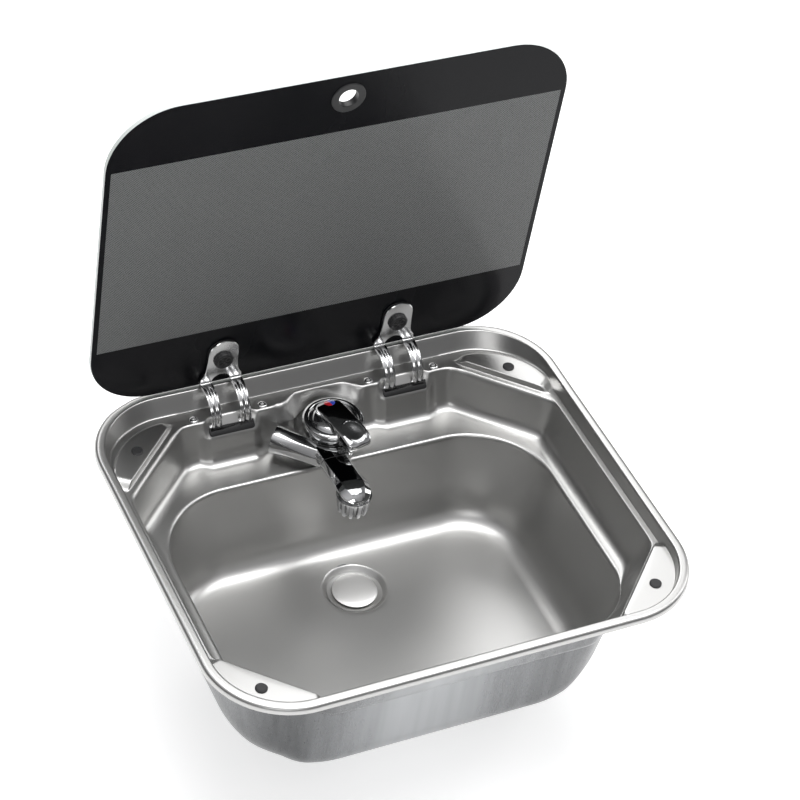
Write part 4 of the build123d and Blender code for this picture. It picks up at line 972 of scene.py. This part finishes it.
def lever_hood():
    """The hood and thumb piece as one lofted skin, rounded at its tail and tip."""
    rings = []
    stations = [LEVER_TAIL - gap for gap in (0.01, 0.5, 1.3)]
    stations += list(np.linspace(LEVER_TAIL - 2.5, -LEVER_REACH + 2.4, 92))
    stations += [-LEVER_REACH + gap for gap in (1.4, 0.7, 0.25, 0.0)]
    for v in stations:
        half = LEVER_HALF + 0.4 * smooth01((-v - 5) / 20)
        tail, tip = LEVER_TAIL - v, v + LEVER_REACH
        for gap, r in ((tail, 10.0), (tip, 7.0)):
            if gap < r:
                half -= r - math.sqrt(max(r * r - (r - gap) ** 2, 0))
        drop = 2.0 * (1 - math.sqrt(max(1 - (1 - min(tip / 2.0, 1)) ** 2, 0)))
        edge = min(1.8, half * 0.4)
        u = np.linspace(-half + edge, half - edge, 49)
        z = np.array([lever_surface(x, v) for x in u]) - drop
        low = track(v, HOOD_EDGE)
        pulls = [(edge * (1 - math.cos(a)), edge * math.sin(a) - edge) for a in (0.4, 0.8, 1.2)]
        ring = [(-half + 0.9, low), (-half + 0.2, low + 0.6), (-half, z[0] - edge)]
        ring += [(-half + pull, z[0] + down) for pull, down in pulls]
        ring += list(zip(u, z))
        ring += [(half - pull, z[-1] + down) for pull, down in reversed(pulls)]
        ring += [(half, z[-1] - edge), (half - 0.2, low + 0.6), (half - 0.9, low)]
        ring = np.array(ring)
        rings.append(np.column_stack([ring[:, 0], np.full(len(ring), v), ring[:, 1]]))
    return Build().loft(rings)


def lever_cap():
    """Round cap over the tap's dome, hollow below, with the stem that reaches the carrier."""
    r = DOME_R + 0.6
    under = [(rho, min(TILT_Z + math.sqrt(r * r - rho * rho), CAP_TOP - 1.0))
             for rho in (24.6, 22.5, 19.0, 14.0, 9.0, 3.5)]
    face = [(0.02, 0.6), (12.0, 0.4), (15.4, -0.2), (17.4, -1.2), (18.6, -2.6), (19.4, -3.4),
            (20.2, -2.9), (20.9, -1.9), (21.8, -1.3), (23.4, -1.2), (25.2, -1.8), (26.3, -2.8),
            (CAP_R, -4.0)]
    skirt = [(CAP_R, CAP_SKIRT + 0.8), (CAP_R - 0.4, CAP_SKIRT), (25.2, CAP_SKIRT)]
    build = Build()
    build.lathe([(rho, CAP_TOP + z) for rho, z in face] + skirt + under + [(0.02, TILT_Z + r)],
                steps=160)
    build.lathe([(0.02, CAP_TOP - 2), (3.4, CAP_TOP - 2), (3.4, TILT_Z - 2.5),
                 (2.6, TILT_Z - 3.4), (0.02, TILT_Z - 3.4)])
    return build


def lever_pieces():
    for part, name, material, nodes in ((lever_cap(), "lever_cap", SOFT_CHROME, []),
                                        (lever_hood(), "lever_hood", TAP_CHROME, ["lever"])):
        part.moved(lambda ring: turned_about(ring, LEVER_YAW, TAP_AXIS))
        finish(part.make(name, material, 28.0), "lever_lift", "chrome", *nodes)


def index_disc():
    """Round inlay that follows the hood's slope."""
    turn = full_turn(64)
    rings = []
    for r, lift in ((INDEX_R, -0.6), (INDEX_R, 0.05), (INDEX_R - 0.3, 0.16), (INDEX_R * 0.5, 0.22),
                    (0.02, 0.24)):
        ring = circle(r, 0.0, turn, INDEX_AT)
        ring[:, 2] = [lever_surface(x, y) + lift for x, y, _ in ring]
        rings.append(turned_about(ring, LEVER_YAW, TAP_AXIS))
    disc = Build().loft(rings).make("index_disc", MARK, 40.0)
    finish(disc, "lever_lift", "index_inlay", "lever_index")


tap_shell()
swivel_seam()
fluted_nozzle()
lever_pieces()
index_disc()


def outlet_flange():
    """Outlet whose dished flange continues the cone of the well; its tube runs down to the bend."""
    profile = [(16.5, -18.0), (16.5, -0.6), (17.4, 0.3), (19.6, 0.7), (22.4, 1.05), (23.9, 1.5),
               (24.2, 1.45), (23.4, 0.6), (22.0, 0.1), (19.6, 0.0), (19.5, -18.0), (16.5, -18.0)]
    build = Build().lathe([(r, WELL_Z + z) for r, z in profile], (0, DRAIN_Y), 128, closed=True)
    flange = build.make("outlet_flange", SHEET_STEEL, 40.0)
    finish(flange, "sink", "satin_steel", "waste_body")


def drain_disc():
    """Loose stopper: satin dome with a soft rim over a dark shadow gap."""
    profile = [(0.02, -9.0), (12.5, -9.0), (13.5, -7.5), (13.5, -0.6), (18.6, -0.6), (19.5, -0.2),
               (19.9, 0.5), (19.6, 1.1), (18.6, 1.5), (15.0, 2.1), (10.0, 2.6), (5.0, 2.85),
               (0.02, 2.9)]
    build = Build().lathe([(r, WELL_Z + 1.9 + z) for r, z in profile], (0, DRAIN_Y), 128)
    disc = build.make("drain_disc", DISC_STEEL, 40.0)
    finish(disc, "plug", "satin_steel", "plug")


outlet_flange()
drain_disc()


# -------------------------------------------------- CAD nodes that keep their shape
FINISHES = {
    RUBBER: ["rim_seal", "corner_bumpers", "lid_gasket_left", "lid_gasket_right", "tap_gasket",
             "waste_gasket", "plug_seal"],
    BLACK: ["lid_hole_bush", "lid_cap_left", "lid_cap_right", "tap_nut", "tap_washer", "cartridge",
            "waste_nut", "waste_elbow", "lever_carrier"],
    FITTING: ["hinge_pin_left", "hinge_pin_right", "hinge_housing_left", "hinge_housing_right",
              "friction_washers_left", "friction_washers_right", "carrier_pin"],
    CHROME: ["tap_dome"],
    BRASS: ["inlet_tails", "cartridge_ring"],
    GLASS: ["glass_lid"],
}
for material, names in FINISHES.items():
    for name in names:
        paint(name, material)


# ---------------------------------------------------------------- floor, light, camera
def studio_floor():
    """White table that gives a little light of its own, so that the shadows stay pale."""
    m = Mat("floor_paint")
    m.link(m.mix(m.noise(3.0), (0.70,) * 3, (0.72,) * 3), m.b.inputs["Base Color"])
    m.set(Roughness=0.95, Specular_IOR_Level=0.1)
    m.set(Emission_Color=(1, 1, 1, 1), Emission_Strength=0.62)
    half, low = 6000.0, CAD_BOX[0][2] / MM
    corners = [(-half, -half, low), (half, -half, low), (half, half, low), (-half, half, low)]
    mesh_object("floor", corners, [(0, 1, 2, 3)], m.m, None)


def studio_world():
    """Soft room: white overhead, darker towards the walls, so that metal has something to show."""
    world = bpy.data.worlds.new("studio")
    world.use_nodes = True
    bpy.context.scene.world = world
    tree = world.node_tree
    back = tree.nodes["Background"]
    direction = tree.nodes.new("ShaderNodeTexCoord").outputs["Generated"]
    axes = tree.nodes.new("ShaderNodeSeparateXYZ")
    tree.links.new(direction, axes.inputs[0])
    ramp = tree.nodes.new("ShaderNodeValToRGB")
    stops = ramp.color_ramp.elements
    stops[0].color, stops[1].color = (0.30, 0.30, 0.31, 1), (1.0, 1.0, 1.0, 1)
    for place, value in ((0.10, 0.07), (0.40, 0.06), (0.62, 0.36), (0.85, 0.85)):
        stops.new(place).color = (value, value, value * 1.02, 1)
    tree.links.new(axes.outputs[2], ramp.inputs[0])
    tree.links.new(ramp.outputs[0], back.inputs[0])


def area(name, at, target, size_x, size_y, power):
    """Rectangular lamp that looks at a point; metres and watts."""
    light = bpy.data.lights.new(name, "AREA")
    light.shape = "RECTANGLE"
    light.size, light.size_y = size_x, size_y
    light.energy = power
    o = bpy.data.objects.new(name, light)
    o.location = at
    o.rotation_euler = (Vector(target) - Vector(at)).to_track_quat("-Z", "Y").to_euler()
    bpy.context.scene.collection.objects.link(o)


studio_floor()
studio_world()
area("overhead", (0.2, 0.2, 1.9), (0, 0, -0.05), 1.7, 1.4, 36)
area("back", (0.5, 1.9, 1.7), (0, 0, 0), 2.2, 1.0, 19)
area("right", (1.9, 0.1, 1.0), (0, 0, 0), 0.7, 1.5, 10)
area("front", (-0.9, -2.0, 1.2), (0, 0, -0.1), 1.2, 0.5, 6)

# The camera that was solved together with the size of the part.
view = bpy.data.cameras.new("view")
view.sensor_width = 36
view.lens = 122.57
camera = bpy.data.objects.new("view", view)
camera.matrix_world = Matrix((
    (0.90869, 0.20833, -0.36142, -0.78025),
    (-0.40561, 0.64373, -0.64887, -1.39524),
    (0.09752, 0.73617, 0.66954, 1.55932),
    (0, 0, 0, 1),
))
bpy.context.scene.collection.objects.link(camera)
bpy.context.scene.camera = camera
bpy.context.scene.view_settings.view_transform = "Standard"
